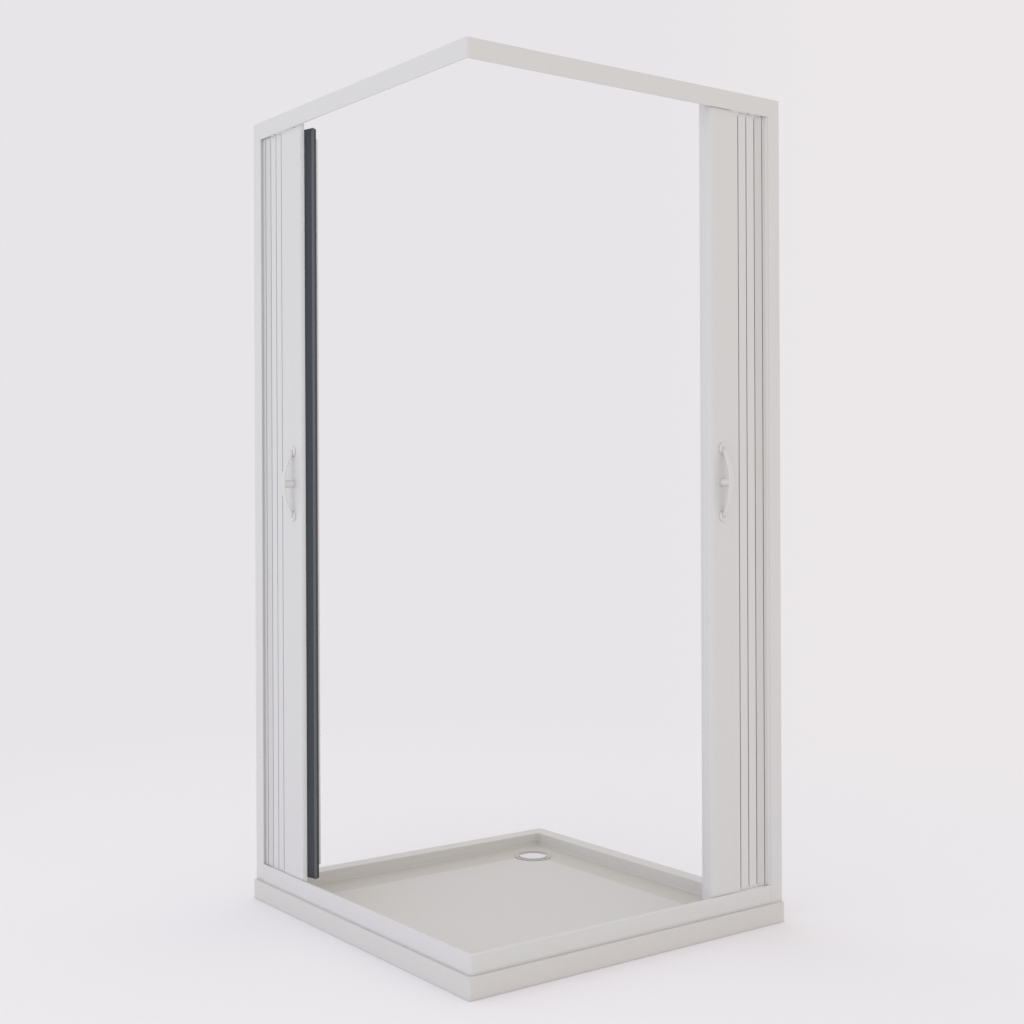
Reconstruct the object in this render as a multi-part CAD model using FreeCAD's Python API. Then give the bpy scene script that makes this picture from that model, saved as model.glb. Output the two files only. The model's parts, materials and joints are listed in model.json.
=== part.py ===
import FreeCAD, Part
import math
import os

# A corner-entry shower enclosure: a square tray with a waste, two wall posts, two top rails and two
# bottom tracks, and a leaf of folding slats on each side that closes towards the front corner.
# Millimetres, +Z up, origin in the middle of the tray's underside. Along each wall a piece is drawn
# with x along the wall, from the front corner to the room's wall, y inwards from the frame's outer
# face, and z up. The right side is that drawing moved into place, the left side is its mirror image.

Vec = FreeCAD.Vector

# tray
TRAY_SIDE = 900.0
TRAY_HEIGHT = 46.0
TRAY_RIM = 40.0
TRAY_WALL_DROP = 28.0
TRAY_WALL_DRAFT = 6.0
TRAY_BAND = 78.0
TRAY_BAND_DROP = 4.0
TRAY_CORNER_R = 5.0
TRAY_EDGE_R = 2.0
BASIN_CORNER_R = 10.0

# waste
WASTE_INSET = 130.0
RECESS_R = 55.0
RECESS_SEAT_R = 46.0
RECESS_DEPTH = 3.0
WASTE_HOLE_R = 38.0
WASTE_CLEARANCE = 0.3
WASTE_FLANGE = 1.5
WASTE_WALL = 2.0
OUTLET_R = 25.1
OUTLET_LENGTH = 7.0
SEAL_THICKNESS = 0.8
COVER_R = 40.0
COVER_EDGE = 1.6
COVER_CROWN = 3.2
COVER_LIFT = 2.2
COVER_FOOT_R = 1.6
COVER_FOOT_INSET = 1.0
COVER_FEET = 3

# frame
FRAME_INSET = 8.0
FRAME_HEIGHT = 1850.0
RAIL_DEPTH = 30.0
RAIL_HEIGHT = 32.0
PROFILE_WALL = 2.0
LIP_HEIGHT = 10.0
LIP_FLAT = 4.0
RAIL_CORNER_CUT = 2.5
SLOT_WIDTH = 5.0
GROOVE_LOW = 14.0
GROOVE_HEIGHT = 5.0
POST_FACE = 36.0
POST_LIP = 4.0
WALL_HOLE_R = 3.0
WALL_HOLES = 4
WALL_HOLE_STEP = 500.0
WALL_HOLE_DEPTH = 20.0
DRIVER_HOLE_R = 6.0
JOINER_ARM = 18.0
JOINER_CLEARANCE = 0.2
CAP_THICKNESS = 2.5
CAP_PLUG = 12.0
CORNER_SCREW_R = 2.0
CORNER_SCREW_HEAD_R = 3.8
CORNER_SCREW_HEAD = 1.6
CORNER_SCREW_LENGTH = 14.0

# folding slats
PLEATS = 4
SLAT_PITCH = 13.0
SLAT_SPARE = 1.0
SLAT_THICKNESS = 3.0
SLAT_OFFSET = 2.0
PIVOT_FROM_WALL = 37.5
END_GAP = 1.5
BEAD_R = 2.6
BEAD_CLEARANCE = 0.08
HOOK_WALL = 0.9
HOOK_CLEARANCE = 0.45
NECK = 0.8
NECK_CLEARANCE = 0.25
HOOK_WEB = 1.4
STRIP_WIDTH = 24.0
STRIP_THICKNESS = 1.2
STRIP_EDGE_R = 0.8
STRIP_RECESS = 6.0
STRIP_CLEARANCE = 0.42
LUG_WIDTH = 7.0
LUG_THICKNESS = 2.4
LUG_CLEARANCE = 0.3
TRUNNION_R = 1.2
TRUNNION_CLEARANCE = 0.05
TRUNNION_LENGTH = 8.0

# lead stiles: the left one is thin, the right one deep and round-nosed
PIVOT_TO_STILE = 9.0
STILE_WIDTH = 69.5
LEFT_STILE_THICKNESS = 11.5
RIGHT_STILE_THICKNESS = 32.0
STILE_RECESS = 5.5
LEFT_NOSE_R = 2.5
RIGHT_NOSE_R = 14.0
STILE_BACK_R = 3.0
STILE_INNER_R = 0.6
GLIDER_PLUG = 20.0
GLIDER_PIN_R = 2.1
GLIDER_HEAD = 5.0
GLIDER_HEAD_LENGTH = 14.0
GLIDER_CLEARANCE = 0.3
FOOT_PLATE = 1.2
FOOT_WIDTH = 14.0
FOOT_ARM = 3.0
TONGUE_REACH = 4.5

# closing profile on the left stile, catch strip on the right one
CLOSER_FAR = 37.0
CLOSER_REACH = 33.0
CLOSER_BULB_R = 5.0
CLOSER_BULB_Y = 24.0
CLOSER_ROOT = 22.0
CLOSER_ROOT_EDGE = 2.5
CLOSER_END_GAP = 8.5
CATCH_WIDTH = 14.0
CATCH_THICKNESS = 1.5
CLOSING_GAP = 2.0

# handle
HANDLE_FROM_END = 37.5
HANDLE_Z = 1015.0
HANDLE_SPACING = 152.0
PAD_R = 11.0
PAD_THICKNESS = 4.0
BOW_HEIGHT = 24.0
BOW_THICKNESS = 4.5
BOW_END_WIDTH = 9.0
BOW_MIDDLE_WIDTH = 12.0
PEG_R = 8.0
HANDLE_SCREW_R = 2.0
HANDLE_SCREW_HEAD_R = 4.8
HANDLE_SCREW_HEAD = 2.2
HANDLE_SCREW_ROUND = 1.3
HANDLE_SCREW_LENGTH = 13.0
SCREW_CLEARANCE = 0.1

# places that follow from the sizes above
HALF = TRAY_SIDE / 2
FRONT = FRAME_INSET - HALF
CORNER = FRONT
RAIL_TOP = TRAY_HEIGHT + FRAME_HEIGHT
RAIL_LOW = RAIL_TOP - RAIL_HEIGHT
TRACK_TOP = TRAY_HEIGHT + RAIL_HEIGHT
RAIL_LIP = RAIL_LOW - LIP_HEIGHT
TRACK_LIP = TRACK_TOP + LIP_HEIGHT
POST_INNER = HALF - POST_FACE
LEAF_LOW = TRACK_LIP + END_GAP
LEAF_HIGH = RAIL_LIP - END_GAP
SLAT_LOW = LEAF_LOW + LUG_THICKNESS + LUG_CLEARANCE
SLAT_HIGH = LEAF_HIGH - LUG_THICKNESS - LUG_CLEARANCE
HOOK_IN = BEAD_R + BEAD_CLEARANCE
HOOK_OUT = HOOK_IN + HOOK_WALL
STRIP_BACK = STRIP_RECESS + STRIP_THICKNESS
PIVOT_Y = STRIP_BACK + STRIP_CLEARANCE + HOOK_OUT
JAMB_X = HALF - PIVOT_FROM_WALL
STILE_PIVOT_X = JAMB_X - 2 * PLEATS * SLAT_PITCH
STILE_BACK_X = STILE_PIVOT_X - PIVOT_TO_STILE
STILE_NOSE_X = STILE_BACK_X - STILE_WIDTH
CLOSER_NEAR = STILE_RECESS + LEFT_STILE_THICKNESS
HANDLE_X = STILE_NOSE_X + HANDLE_FROM_END
CORNER_SCREW_X = CORNER + RAIL_DEPTH + JOINER_ARM / 2
CLOSED_NOSE_X = CORNER + CLOSER_FAR + CLOSING_GAP + CATCH_THICKNESS
LEAF_TRAVEL = STILE_NOSE_X - CLOSED_NOSE_X
CLOSED_PITCH = SLAT_PITCH + LEAF_TRAVEL / (2 * PLEATS)
SLAT_ARM = CLOSED_PITCH + SLAT_SPARE
SLAT_DEPTH = math.sqrt(SLAT_ARM ** 2 - SLAT_PITCH ** 2)
FOLD_TURN = math.acos(SLAT_PITCH / SLAT_ARM) - math.acos(CLOSED_PITCH / SLAT_ARM)
BASIN_FOOT_Z = TRAY_HEIGHT - TRAY_WALL_DROP
FLOOR_Z = BASIN_FOOT_Z - TRAY_BAND_DROP
WASTE_AT = HALF - WASTE_INSET


def outline(start, *moves):
    """A flat face. Each move is an end point, or a middle point and an end point for an arc."""
    edges = []
    here = Vec(*start)
    for move in moves:
        if isinstance(move[0], tuple):
            middle = Vec(*move[0])
            there = Vec(*move[1])
            edges.append(Part.Arc(here, middle, there).toShape())
        else:
            there = Vec(*move)
            edges.append(Part.LineSegment(here, there).toShape())
        here = there
    if here.distanceToPoint(Vec(*start)) > 1e-6:
        edges.append(Part.LineSegment(here, Vec(*start)).toShape())
    return Part.Face(Part.Wire(edges))


def upright(face, low, high):
    """A flat outline carried up from one height to another."""
    solid = face.extrude(Vec(0, 0, high - low))
    solid.translate(Vec(0, 0, low))
    return solid


def box(x0, x1, y0, y1, z0, z1):
    """A block between two places on each axis."""
    return Part.makeBox(x1 - x0, y1 - y0, z1 - z0, Vec(x0, y0, z0))


def peg(radius, base, along, length):
    """A round bar from a base point."""
    return Part.makeCylinder(radius, length, Vec(*base), Vec(*along))


def joined(*shapes):
    """Several shapes as one solid, without seams between flush faces."""
    return shapes[0].multiFuse(list(shapes[1:])).removeSplitter()


def on_right(shape):
    """A wall drawing at its place on the right wall."""
    moved = shape.copy()
    moved.translate(Vec(0, FRONT, 0))
    return moved


def on_left(shape):
    """The mirror image of a wall drawing, at its place on the left wall."""
    moved = shape.mirror(Vec(0, 0, 0), Vec(1, -1, 0))
    moved.translate(Vec(FRONT, 0, 0))
    return moved


def save(name, shape):
    """One piece's file, under the piece's name."""
    shape.exportStep("parts/" + name + ".step")


def save_pair(name, shape):
    """The same piece on both sides."""
    save("left_" + name, on_left(shape))
    save("right_" + name, on_right(shape))


def rounded_square(half, radius, height):
    """A square outline with round corners."""
    flat = half - radius
    bend = half - radius + radius * math.sqrt(0.5)
    return outline(
        (-flat, -half, height),
        (flat, -half, height),
        ((bend, -bend, height), (half, -flat, height)),
        (half, flat, height),
        ((bend, bend, height), (flat, half, height)),
        (-flat, half, height),
        ((-bend, bend, height), (-half, flat, height)),
        (-half, -flat, height),
        ((-bend, -bend, height), (-flat, -half, height)),
    )


def sunk(half_top, half_foot, z_top, z_foot):
    """The space between a larger square above and a smaller one below."""
    top = rounded_square(half_top, BASIN_CORNER_R, z_top)
    foot = rounded_square(half_foot, BASIN_CORNER_R, z_foot)
    return Part.makeLoft([foot.OuterWire, top.OuterWire], True, True)


def make_tray():
    """A square slab with soft top edges, a sunk floor with a sloping band, and the waste's dish and hole."""
    slab = upright(rounded_square(HALF, TRAY_CORNER_R, 0), 0, TRAY_HEIGHT)
    top_edges = [e for e in slab.Edges if all(abs(v.Z - TRAY_HEIGHT) < 1e-6 for v in e.Vertexes)]
    slab = slab.makeFillet(TRAY_EDGE_R, top_edges)
    rim = HALF - TRAY_RIM
    foot = rim - TRAY_WALL_DRAFT
    floor = foot - TRAY_BAND
    # the upper space starts above the rim, on the same slope, so that it cuts cleanly
    above = rim + TRAY_WALL_DRAFT
    slab = slab.cut(sunk(above, foot, TRAY_HEIGHT + TRAY_WALL_DROP, BASIN_FOOT_Z))
    slab = slab.cut(sunk(foot, floor, BASIN_FOOT_Z, FLOOR_Z))
    seat_z = FLOOR_Z - RECESS_DEPTH
    slope = (RECESS_R - RECESS_SEAT_R) / RECESS_DEPTH
    up = TRAY_BAND_DROP
    dish_top_r = RECESS_R + slope * up
    dish = Part.makeCone(RECESS_SEAT_R, dish_top_r, RECESS_DEPTH + up, Vec(WASTE_AT, WASTE_AT, seat_z))
    slab = slab.cut(dish)
    return slab.cut(peg(WASTE_HOLE_R, (WASTE_AT, WASTE_AT, 0), (0, 0, 1), TRAY_HEIGHT))


def make_waste():
    """The cup with its flange and pipe socket, the seal under the flange and the cover on its feet."""
    centre = Vec(WASTE_AT, WASTE_AT, 0)
    seat_z = FLOOR_Z - RECESS_DEPTH
    flange_z = seat_z + SEAL_THICKNESS
    flange_top = flange_z + WASTE_FLANGE
    cup_r = WASTE_HOLE_R - WASTE_CLEARANCE
    flange_r = RECESS_SEAT_R - WASTE_CLEARANCE
    flange = peg(flange_r, (WASTE_AT, WASTE_AT, flange_z), (0, 0, 1), WASTE_FLANGE)
    cup = peg(cup_r, (WASTE_AT, WASTE_AT, WASTE_CLEARANCE), (0, 0, 1), flange_top - WASTE_CLEARANCE)
    hollow_z = WASTE_CLEARANCE + OUTLET_LENGTH
    hollow = peg(cup_r - WASTE_WALL, (WASTE_AT, WASTE_AT, hollow_z), (0, 0, 1), TRAY_HEIGHT)
    outlet = peg(OUTLET_R, (WASTE_AT, WASTE_AT, 0), (0, 0, 1), TRAY_HEIGHT)
    body = joined(cup, flange).cut(hollow).cut(outlet)
    seal = peg(flange_r, (WASTE_AT, WASTE_AT, seat_z), (0, 0, 1), SEAL_THICKNESS)
    seal = seal.cut(peg(WASTE_HOLE_R, (WASTE_AT, WASTE_AT, 0), (0, 0, 1), TRAY_HEIGHT))
    under = flange_top + COVER_LIFT
    edge_z = under + COVER_EDGE
    dome_r = (COVER_R ** 2 + COVER_CROWN ** 2) / (2 * COVER_CROWN)
    half_angle = math.asin(COVER_R / dome_r) / 2
    bend_x = dome_r * math.sin(half_angle)
    bend_z = edge_z + COVER_CROWN - dome_r * (1 - math.cos(half_angle))
    section = outline(
        (0, 0, under),
        (COVER_R, 0, under),
        (COVER_R, 0, edge_z),
        ((bend_x, 0, bend_z), (0, 0, edge_z + COVER_CROWN)),
    )
    cover = section.revolve(Vec(0, 0, 0), Vec(0, 0, 1), 360)
    foot_at = COVER_R - COVER_FOOT_INSET - COVER_FOOT_R
    pieces = [cover]
    for n in range(COVER_FEET):
        turn = 2 * math.pi * n / COVER_FEET
        x = foot_at * math.cos(turn)
        y = foot_at * math.sin(turn)
        pieces.append(peg(COVER_FOOT_R, (x, y, flange_top), (0, 0, 1), COVER_LIFT + COVER_EDGE / 2))
    cover = joined(*pieces)
    cover.translate(centre)
    save("waste_body", body)
    save("waste_seal", seal)
    save("waste_cover", cover)


def mitred(shape):
    """A bar along a wall, cut at the front corner on the line to the other wall's bar."""
    reach = RAIL_DEPTH + TRAY_RIM
    away = outline(
        (CORNER - reach, -reach, 0),
        (CORNER + reach, reach, 0),
        (CORNER - reach, reach, 0),
    )
    return shape.cut(upright(away, 0, RAIL_TOP + reach))


def corner_nose(shape):
    """The bar's sharp upright edge at the front corner, cut off square to the corner's diagonal."""
    cut = RAIL_CORNER_CUT
    nose = outline(
        (CORNER - cut, 0, 0),
        (CORNER + cut, 0, 0),
        (CORNER, cut, 0),
        (CORNER - cut, cut, 0),
    )
    return shape.cut(upright(nose, 0, RAIL_TOP + RAIL_HEIGHT))


def corner_screw(clearance):
    """A countersunk screw down through the rail's top into the joiner, or the space it needs."""
    radius = CORNER_SCREW_R + clearance
    low = RAIL_TOP - CORNER_SCREW_LENGTH - clearance
    shank = peg(radius, (CORNER_SCREW_X, RAIL_DEPTH / 2, low), (0, 0, 1), RAIL_TOP - low)
    head_low = Vec(CORNER_SCREW_X, RAIL_DEPTH / 2, RAIL_TOP - CORNER_SCREW_HEAD)
    head = Part.makeCone(radius, CORNER_SCREW_HEAD_R + clearance, CORNER_SCREW_HEAD, head_low)
    return joined(shank, head)


def make_rail():
    """A hollow bar whose front comes down as a sloping lip between the corner and the post, with a
    running slot below, over the leaf's pivots."""
    wall = PROFILE_WALL
    end = HALF - CAP_THICKNESS
    bar = box(CORNER, end, 0, RAIL_DEPTH, RAIL_LOW, RAIL_TOP)
    section = outline(
        (CORNER, 0, RAIL_LOW),
        (CORNER, 0, RAIL_LIP),
        (CORNER, LIP_FLAT, RAIL_LIP),
        (CORNER, RAIL_DEPTH, RAIL_LOW),
    )
    bar = joined(bar, section.extrude(Vec(POST_INNER - CORNER, 0, 0)))
    bar = bar.cut(box(CORNER, end, wall, RAIL_DEPTH - wall, RAIL_LOW + wall, RAIL_TOP - wall))
    slot_low = PIVOT_Y - SLOT_WIDTH / 2
    bar = bar.cut(box(CORNER, POST_INNER, slot_low, slot_low + SLOT_WIDTH, RAIL_LIP, RAIL_LOW + wall))
    return corner_nose(mitred(bar.cut(corner_screw(SCREW_CLEARANCE))))


def make_track():
    """A hollow bar whose front goes up as a lip with a soft edge, sloping inwards, with a guide groove in
    its inner side."""
    wall = PROFILE_WALL
    bend = LIP_FLAT * (1 - math.sqrt(0.5))
    section = outline(
        (CORNER, 0, TRAY_HEIGHT),
        (CORNER, 0, TRACK_LIP - LIP_FLAT),
        ((CORNER, bend, TRACK_LIP - bend), (CORNER, LIP_FLAT, TRACK_LIP)),
        (CORNER, RAIL_DEPTH, TRACK_TOP),
        (CORNER, RAIL_DEPTH, TRAY_HEIGHT),
    )
    bar = section.extrude(Vec(POST_INNER - CORNER, 0, 0))
    hollow = box(CORNER, POST_INNER, wall, RAIL_DEPTH - wall, TRAY_HEIGHT + wall, TRACK_TOP - wall)
    bar = bar.cut(hollow)
    low = TRAY_HEIGHT + GROOVE_LOW
    bar = bar.cut(box(CORNER, POST_INNER, RAIL_DEPTH - wall, RAIL_DEPTH, low, low + GROOVE_HEIGHT))
    return corner_nose(mitred(bar))


def ring_sector(centre, start_turn, end_turn, low, high):
    """A hook: part of a ring round a bead, from one angle to another, in radians."""
    def at(radius, turn):
        return (centre[0] + radius * math.cos(turn), centre[1] + radius * math.sin(turn), 0)
    middle = (start_turn + end_turn) / 2
    face = outline(
        at(HOOK_IN, start_turn),
        at(HOOK_OUT, start_turn),
        (at(HOOK_OUT, middle), at(HOOK_OUT, end_turn)),
        at(HOOK_IN, end_turn),
        (at(HOOK_IN, middle), at(HOOK_IN, start_turn)),
    )
    return upright(face, low, high)


def web(start, end, thickness, low, high):
    """A thin upright wall from one point of the plan to another."""
    run = Vec(end[0] - start[0], end[1] - start[1], 0)
    side = Vec(-run.y, run.x, 0)
    side.normalize()
    side = side * (thickness / 2)
    a = Vec(start[0], start[1], 0)
    b = Vec(end[0], end[1], 0)
    face = outline(tuple(a + side), tuple(b + side), tuple(b - side), tuple(a - side))
    return upright(face, low, high)


def mouth_margin():
    """The angle that half a neck and its clearance take up in a hook's mouth."""
    return math.asin((NECK / 2 + NECK_CLEARANCE) / HOOK_IN)


def slat_lines():
    """In plan, a slat's direction and the side it stands to, seen from its outer pivot. Its two pivots
    lie on opposite sides of it, so it leans a little across the line between them."""
    along = Vec(-SLAT_PITCH / SLAT_ARM, SLAT_DEPTH / SLAT_ARM, 0)
    across = Vec(-along.y, along.x, 0)
    lean = math.asin(2 * SLAT_OFFSET / SLAT_ARM)
    run = along * math.cos(lean) - across * math.sin(lean)
    side = along * math.sin(lean) + across * math.cos(lean)
    return run, side


def panel_start():
    """How far along a slat its panel starts, clear of the next slat's hook."""
    return HOOK_OUT + HOOK_CLEARANCE


def neck_root():
    """How far along a slat the neck of its bead or hook ends, inside the panel."""
    return panel_start() + SLAT_THICKNESS / 2


def neck_turn():
    """The direction, in plan, of the neck at a slat's outer pivot."""
    run, side = slat_lines()
    to_root = run * neck_root() + side * SLAT_OFFSET
    return math.atan2(to_root.y, to_root.x)


def make_slat(hooked, holes):
    """A slat drawn from its outer pivot at x = 0. A plain slat has a bead on each edge and a hooked
    one a hook; holes take the trunnions of a cover strip in the outer bead."""
    run, side = slat_lines()
    outer = Vec(0, PIVOT_Y, 0)
    inner = Vec(-SLAT_PITCH, PIVOT_Y + SLAT_DEPTH, 0)
    first = outer + side * SLAT_OFFSET + run * panel_start()
    last = inner - side * SLAT_OFFSET - run * panel_start()
    pieces = [web(tuple(first), tuple(last), SLAT_THICKNESS, SLAT_LOW, SLAT_HIGH)]
    turn = neck_turn()
    for pivot, sense, half_turn in ((outer, 1, 0), (inner, -1, math.pi)):
        to_root = (run * neck_root() + side * SLAT_OFFSET) * sense
        root = pivot + to_root
        to_root.normalize()
        if hooked:
            # the bead's neck, seen from this slat, starts as its mirror image and turns twice the fold
            opened = math.pi - turn + half_turn
            start = opened + mouth_margin()
            end = opened - 2 * FOLD_TURN - mouth_margin() + 2 * math.pi
            pieces.append(ring_sector(pivot, start, end, SLAT_LOW, SLAT_HIGH))
            near = pivot + to_root * (HOOK_IN + HOOK_WALL / 2)
            pieces.append(web(tuple(near), tuple(root), HOOK_WEB, SLAT_LOW, SLAT_HIGH))
        else:
            pieces.append(peg(BEAD_R, (pivot.x, pivot.y, SLAT_LOW), (0, 0, 1), SLAT_HIGH - SLAT_LOW))
            pieces.append(web(tuple(pivot), tuple(root), NECK, SLAT_LOW, SLAT_HIGH))
    slat = joined(*pieces)
    if holes:
        depth = TRUNNION_LENGTH + LUG_CLEARANCE
        for z in (SLAT_LOW, SLAT_HIGH - depth):
            slat = slat.cut(peg(TRUNNION_R + TRUNNION_CLEARANCE, (0, PIVOT_Y, z), (0, 0, 1), depth))
    return slat


def flipped(shape):
    """The mirror image of a drawing along the wall."""
    return shape.mirror(Vec(0, 0, 0), Vec(1, 0, 0))


def moved_along(shape, x):
    """A copy of a shape, moved along the wall."""
    shape = shape.copy()
    shape.translate(Vec(x, 0, 0))
    return shape


def make_strip():
    """A cover strip over an outer fold, with a lug at each end that turns in the slat's bead."""
    half = STRIP_WIDTH / 2
    plate = box(-half, half, STRIP_RECESS, STRIP_BACK, LEAF_LOW, LEAF_HIGH)
    long_edges = [e for e in plate.Edges if abs(e.Length - (LEAF_HIGH - LEAF_LOW)) < 1e-6]
    front_edges = [e for e in long_edges if e.CenterOfMass.y < (STRIP_RECESS + STRIP_BACK) / 2]
    plate = plate.makeFillet(STRIP_EDGE_R, front_edges)
    pieces = [plate]
    lug = LUG_WIDTH / 2
    for low, pin_low in (
        (LEAF_LOW, LEAF_LOW + LUG_THICKNESS),
        (LEAF_HIGH - LUG_THICKNESS, LEAF_HIGH - LUG_THICKNESS - TRUNNION_LENGTH),
    ):
        plan = outline(
            (-lug, STRIP_BACK - STRIP_THICKNESS / 2, 0),
            (lug, STRIP_BACK - STRIP_THICKNESS / 2, 0),
            (lug, PIVOT_Y, 0),
            ((0, PIVOT_Y + lug, 0), (-lug, PIVOT_Y, 0)),
        )
        pieces.append(upright(plan, low, low + LUG_THICKNESS))
        pieces.append(peg(TRUNNION_R, (0, PIVOT_Y, pin_low), (0, 0, 1), TRUNNION_LENGTH))
    return joined(*pieces)


def stile_outline(thickness, nose_r, inset):
    """A stile's section, or the hollow inside it when inset by the wall."""
    x0 = STILE_NOSE_X + inset
    x1 = STILE_BACK_X - inset
    y0 = STILE_RECESS + inset
    y1 = STILE_RECESS + thickness - inset
    front_r = max(nose_r - inset, STILE_INNER_R)
    back_r = max(STILE_BACK_R - inset, STILE_INNER_R)
    front_bend = front_r * (1 - math.sqrt(0.5))
    back_bend = back_r * (1 - math.sqrt(0.5))
    return outline(
        (x1, y0, 0),
        (x0 + front_r, y0, 0),
        ((x0 + front_bend, y0 + front_bend, 0), (x0, y0 + front_r, 0)),
        (x0, y1 - back_r, 0),
        ((x0 + back_bend, y1 - back_bend, 0), (x0 + back_r, y1, 0)),
        (x1, y1, 0),
    )


def handle_screw_heights():
    """The heights of a handle's two screws."""
    return (HANDLE_Z - HANDLE_SPACING / 2, HANDLE_Z + HANDLE_SPACING / 2)


def make_stile(thickness, nose_r):
    """A hollow upright with a cover flange and a bead for the last slat's hook."""
    shell = upright(stile_outline(thickness, nose_r, 0), LEAF_LOW, LEAF_HIGH)
    hollow = upright(stile_outline(thickness, nose_r, PROFILE_WALL), LEAF_LOW, LEAF_HIGH)
    flange_end = STILE_PIVOT_X + STRIP_WIDTH / 2
    flange = box(STILE_BACK_X - PROFILE_WALL, flange_end, STRIP_RECESS, STRIP_BACK, LEAF_LOW, LEAF_HIGH)
    bead = peg(BEAD_R, (STILE_PIVOT_X, PIVOT_Y, LEAF_LOW), (0, 0, 1), LEAF_HIGH - LEAF_LOW)
    neck = web((STILE_PIVOT_X, PIVOT_Y), (STILE_BACK_X - PROFILE_WALL, PIVOT_Y), NECK, LEAF_LOW, LEAF_HIGH)
    stile = joined(shell, flange, bead, neck).cut(hollow)
    depth = STILE_RECESS + 2 * PROFILE_WALL
    for z in handle_screw_heights():
        stile = stile.cut(peg(HANDLE_SCREW_R + SCREW_CLEARANCE, (HANDLE_X, 0, z), (0, 1, 0), depth))
    return stile


def glider_plug(thickness, nose_r, low, high):
    """A block that fits inside the stile's hollow end."""
    return upright(stile_outline(thickness, nose_r, PROFILE_WALL + JOINER_CLEARANCE), low, high)


def hanger(x, foot):
    """A pin through the rail's slot with a head that runs inside the rail."""
    pin = peg(GLIDER_PIN_R, (x, PIVOT_Y, foot), (0, 0, 1), RAIL_LOW + PROFILE_WALL + GLIDER_HEAD - foot)
    half_width = PIVOT_Y - PROFILE_WALL - GLIDER_CLEARANCE
    half_length = GLIDER_HEAD_LENGTH / 2
    head_low = RAIL_LOW + PROFILE_WALL + GLIDER_CLEARANCE
    head = box(
        x - half_length, x + half_length,
        PIVOT_Y - half_width, PIVOT_Y + half_width,
        head_low, head_low + GLIDER_HEAD,
    )
    return joined(pin, head)


def make_top_glider(thickness, nose_r):
    """A plug in the stile's head, with a pin and a running head in the rail."""
    plug = glider_plug(thickness, nose_r, LEAF_HIGH - GLIDER_PLUG, LEAF_HIGH)
    return joined(plug, hanger(HANDLE_X, LEAF_HIGH - GLIDER_PLUG / 2))


def make_bottom_glider(thickness, nose_r):
    """A plug in the stile's foot, with an arm behind the track and a tongue in the track's groove."""
    half = FOOT_WIDTH / 2
    plate_high = LEAF_LOW
    plate_low = LEAF_LOW - FOOT_PLATE
    arm_near = RAIL_DEPTH + GLIDER_CLEARANCE
    arm_far = arm_near + FOOT_ARM
    tongue_low = TRAY_HEIGHT + GROOVE_LOW + GLIDER_CLEARANCE
    tongue_high = TRAY_HEIGHT + GROOVE_LOW + GROOVE_HEIGHT - GLIDER_CLEARANCE
    plate_near = STILE_RECESS + thickness / 2
    return joined(
        glider_plug(thickness, nose_r, LEAF_LOW, LEAF_LOW + GLIDER_PLUG),
        box(HANDLE_X - half, HANDLE_X + half, plate_near, arm_far, plate_low, plate_high),
        box(HANDLE_X - half, HANDLE_X + half, arm_near, arm_far, tongue_low, plate_high),
        box(HANDLE_X - half, HANDLE_X + half, RAIL_DEPTH - TONGUE_REACH, arm_far, tongue_low, tongue_high),
    )


def make_closer():
    """The closing profile: a root behind the left stile, and a web past the stile's nose to a round bulb."""
    low = LEAF_LOW + CLOSER_END_GAP
    high = LEAF_HIGH - CLOSER_END_GAP
    base = STILE_NOSE_X
    bulb_x = base - CLOSER_REACH + CLOSER_BULB_R
    plan = outline(
        (base + CLOSER_ROOT, CLOSER_NEAR + CLOSER_ROOT_EDGE, 0),
        (base + CLOSER_ROOT, CLOSER_NEAR, 0),
        (base, CLOSER_NEAR, 0),
        (bulb_x, CLOSER_BULB_Y - CLOSER_BULB_R / 2, 0),
        (bulb_x, CLOSER_BULB_Y + CLOSER_BULB_R / 2, 0),
        (bulb_x + CLOSER_BULB_R, CLOSER_FAR, 0),
        (base, CLOSER_FAR, 0),
    )
    bulb = peg(CLOSER_BULB_R, (bulb_x, CLOSER_BULB_Y, low), (0, 0, 1), high - low)
    return joined(upright(plan, low, high), bulb)


def make_catch():
    """A flat steel-backed strip on the right stile's nose, which the closing profile comes up to."""
    middle = (CLOSER_NEAR + CLOSER_FAR) / 2
    half = CATCH_WIDTH / 2
    return box(
        STILE_NOSE_X - CATCH_THICKNESS, STILE_NOSE_X,
        middle - half, middle + half,
        LEAF_LOW + CLOSER_END_GAP, LEAF_HIGH - CLOSER_END_GAP,
    )


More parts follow.
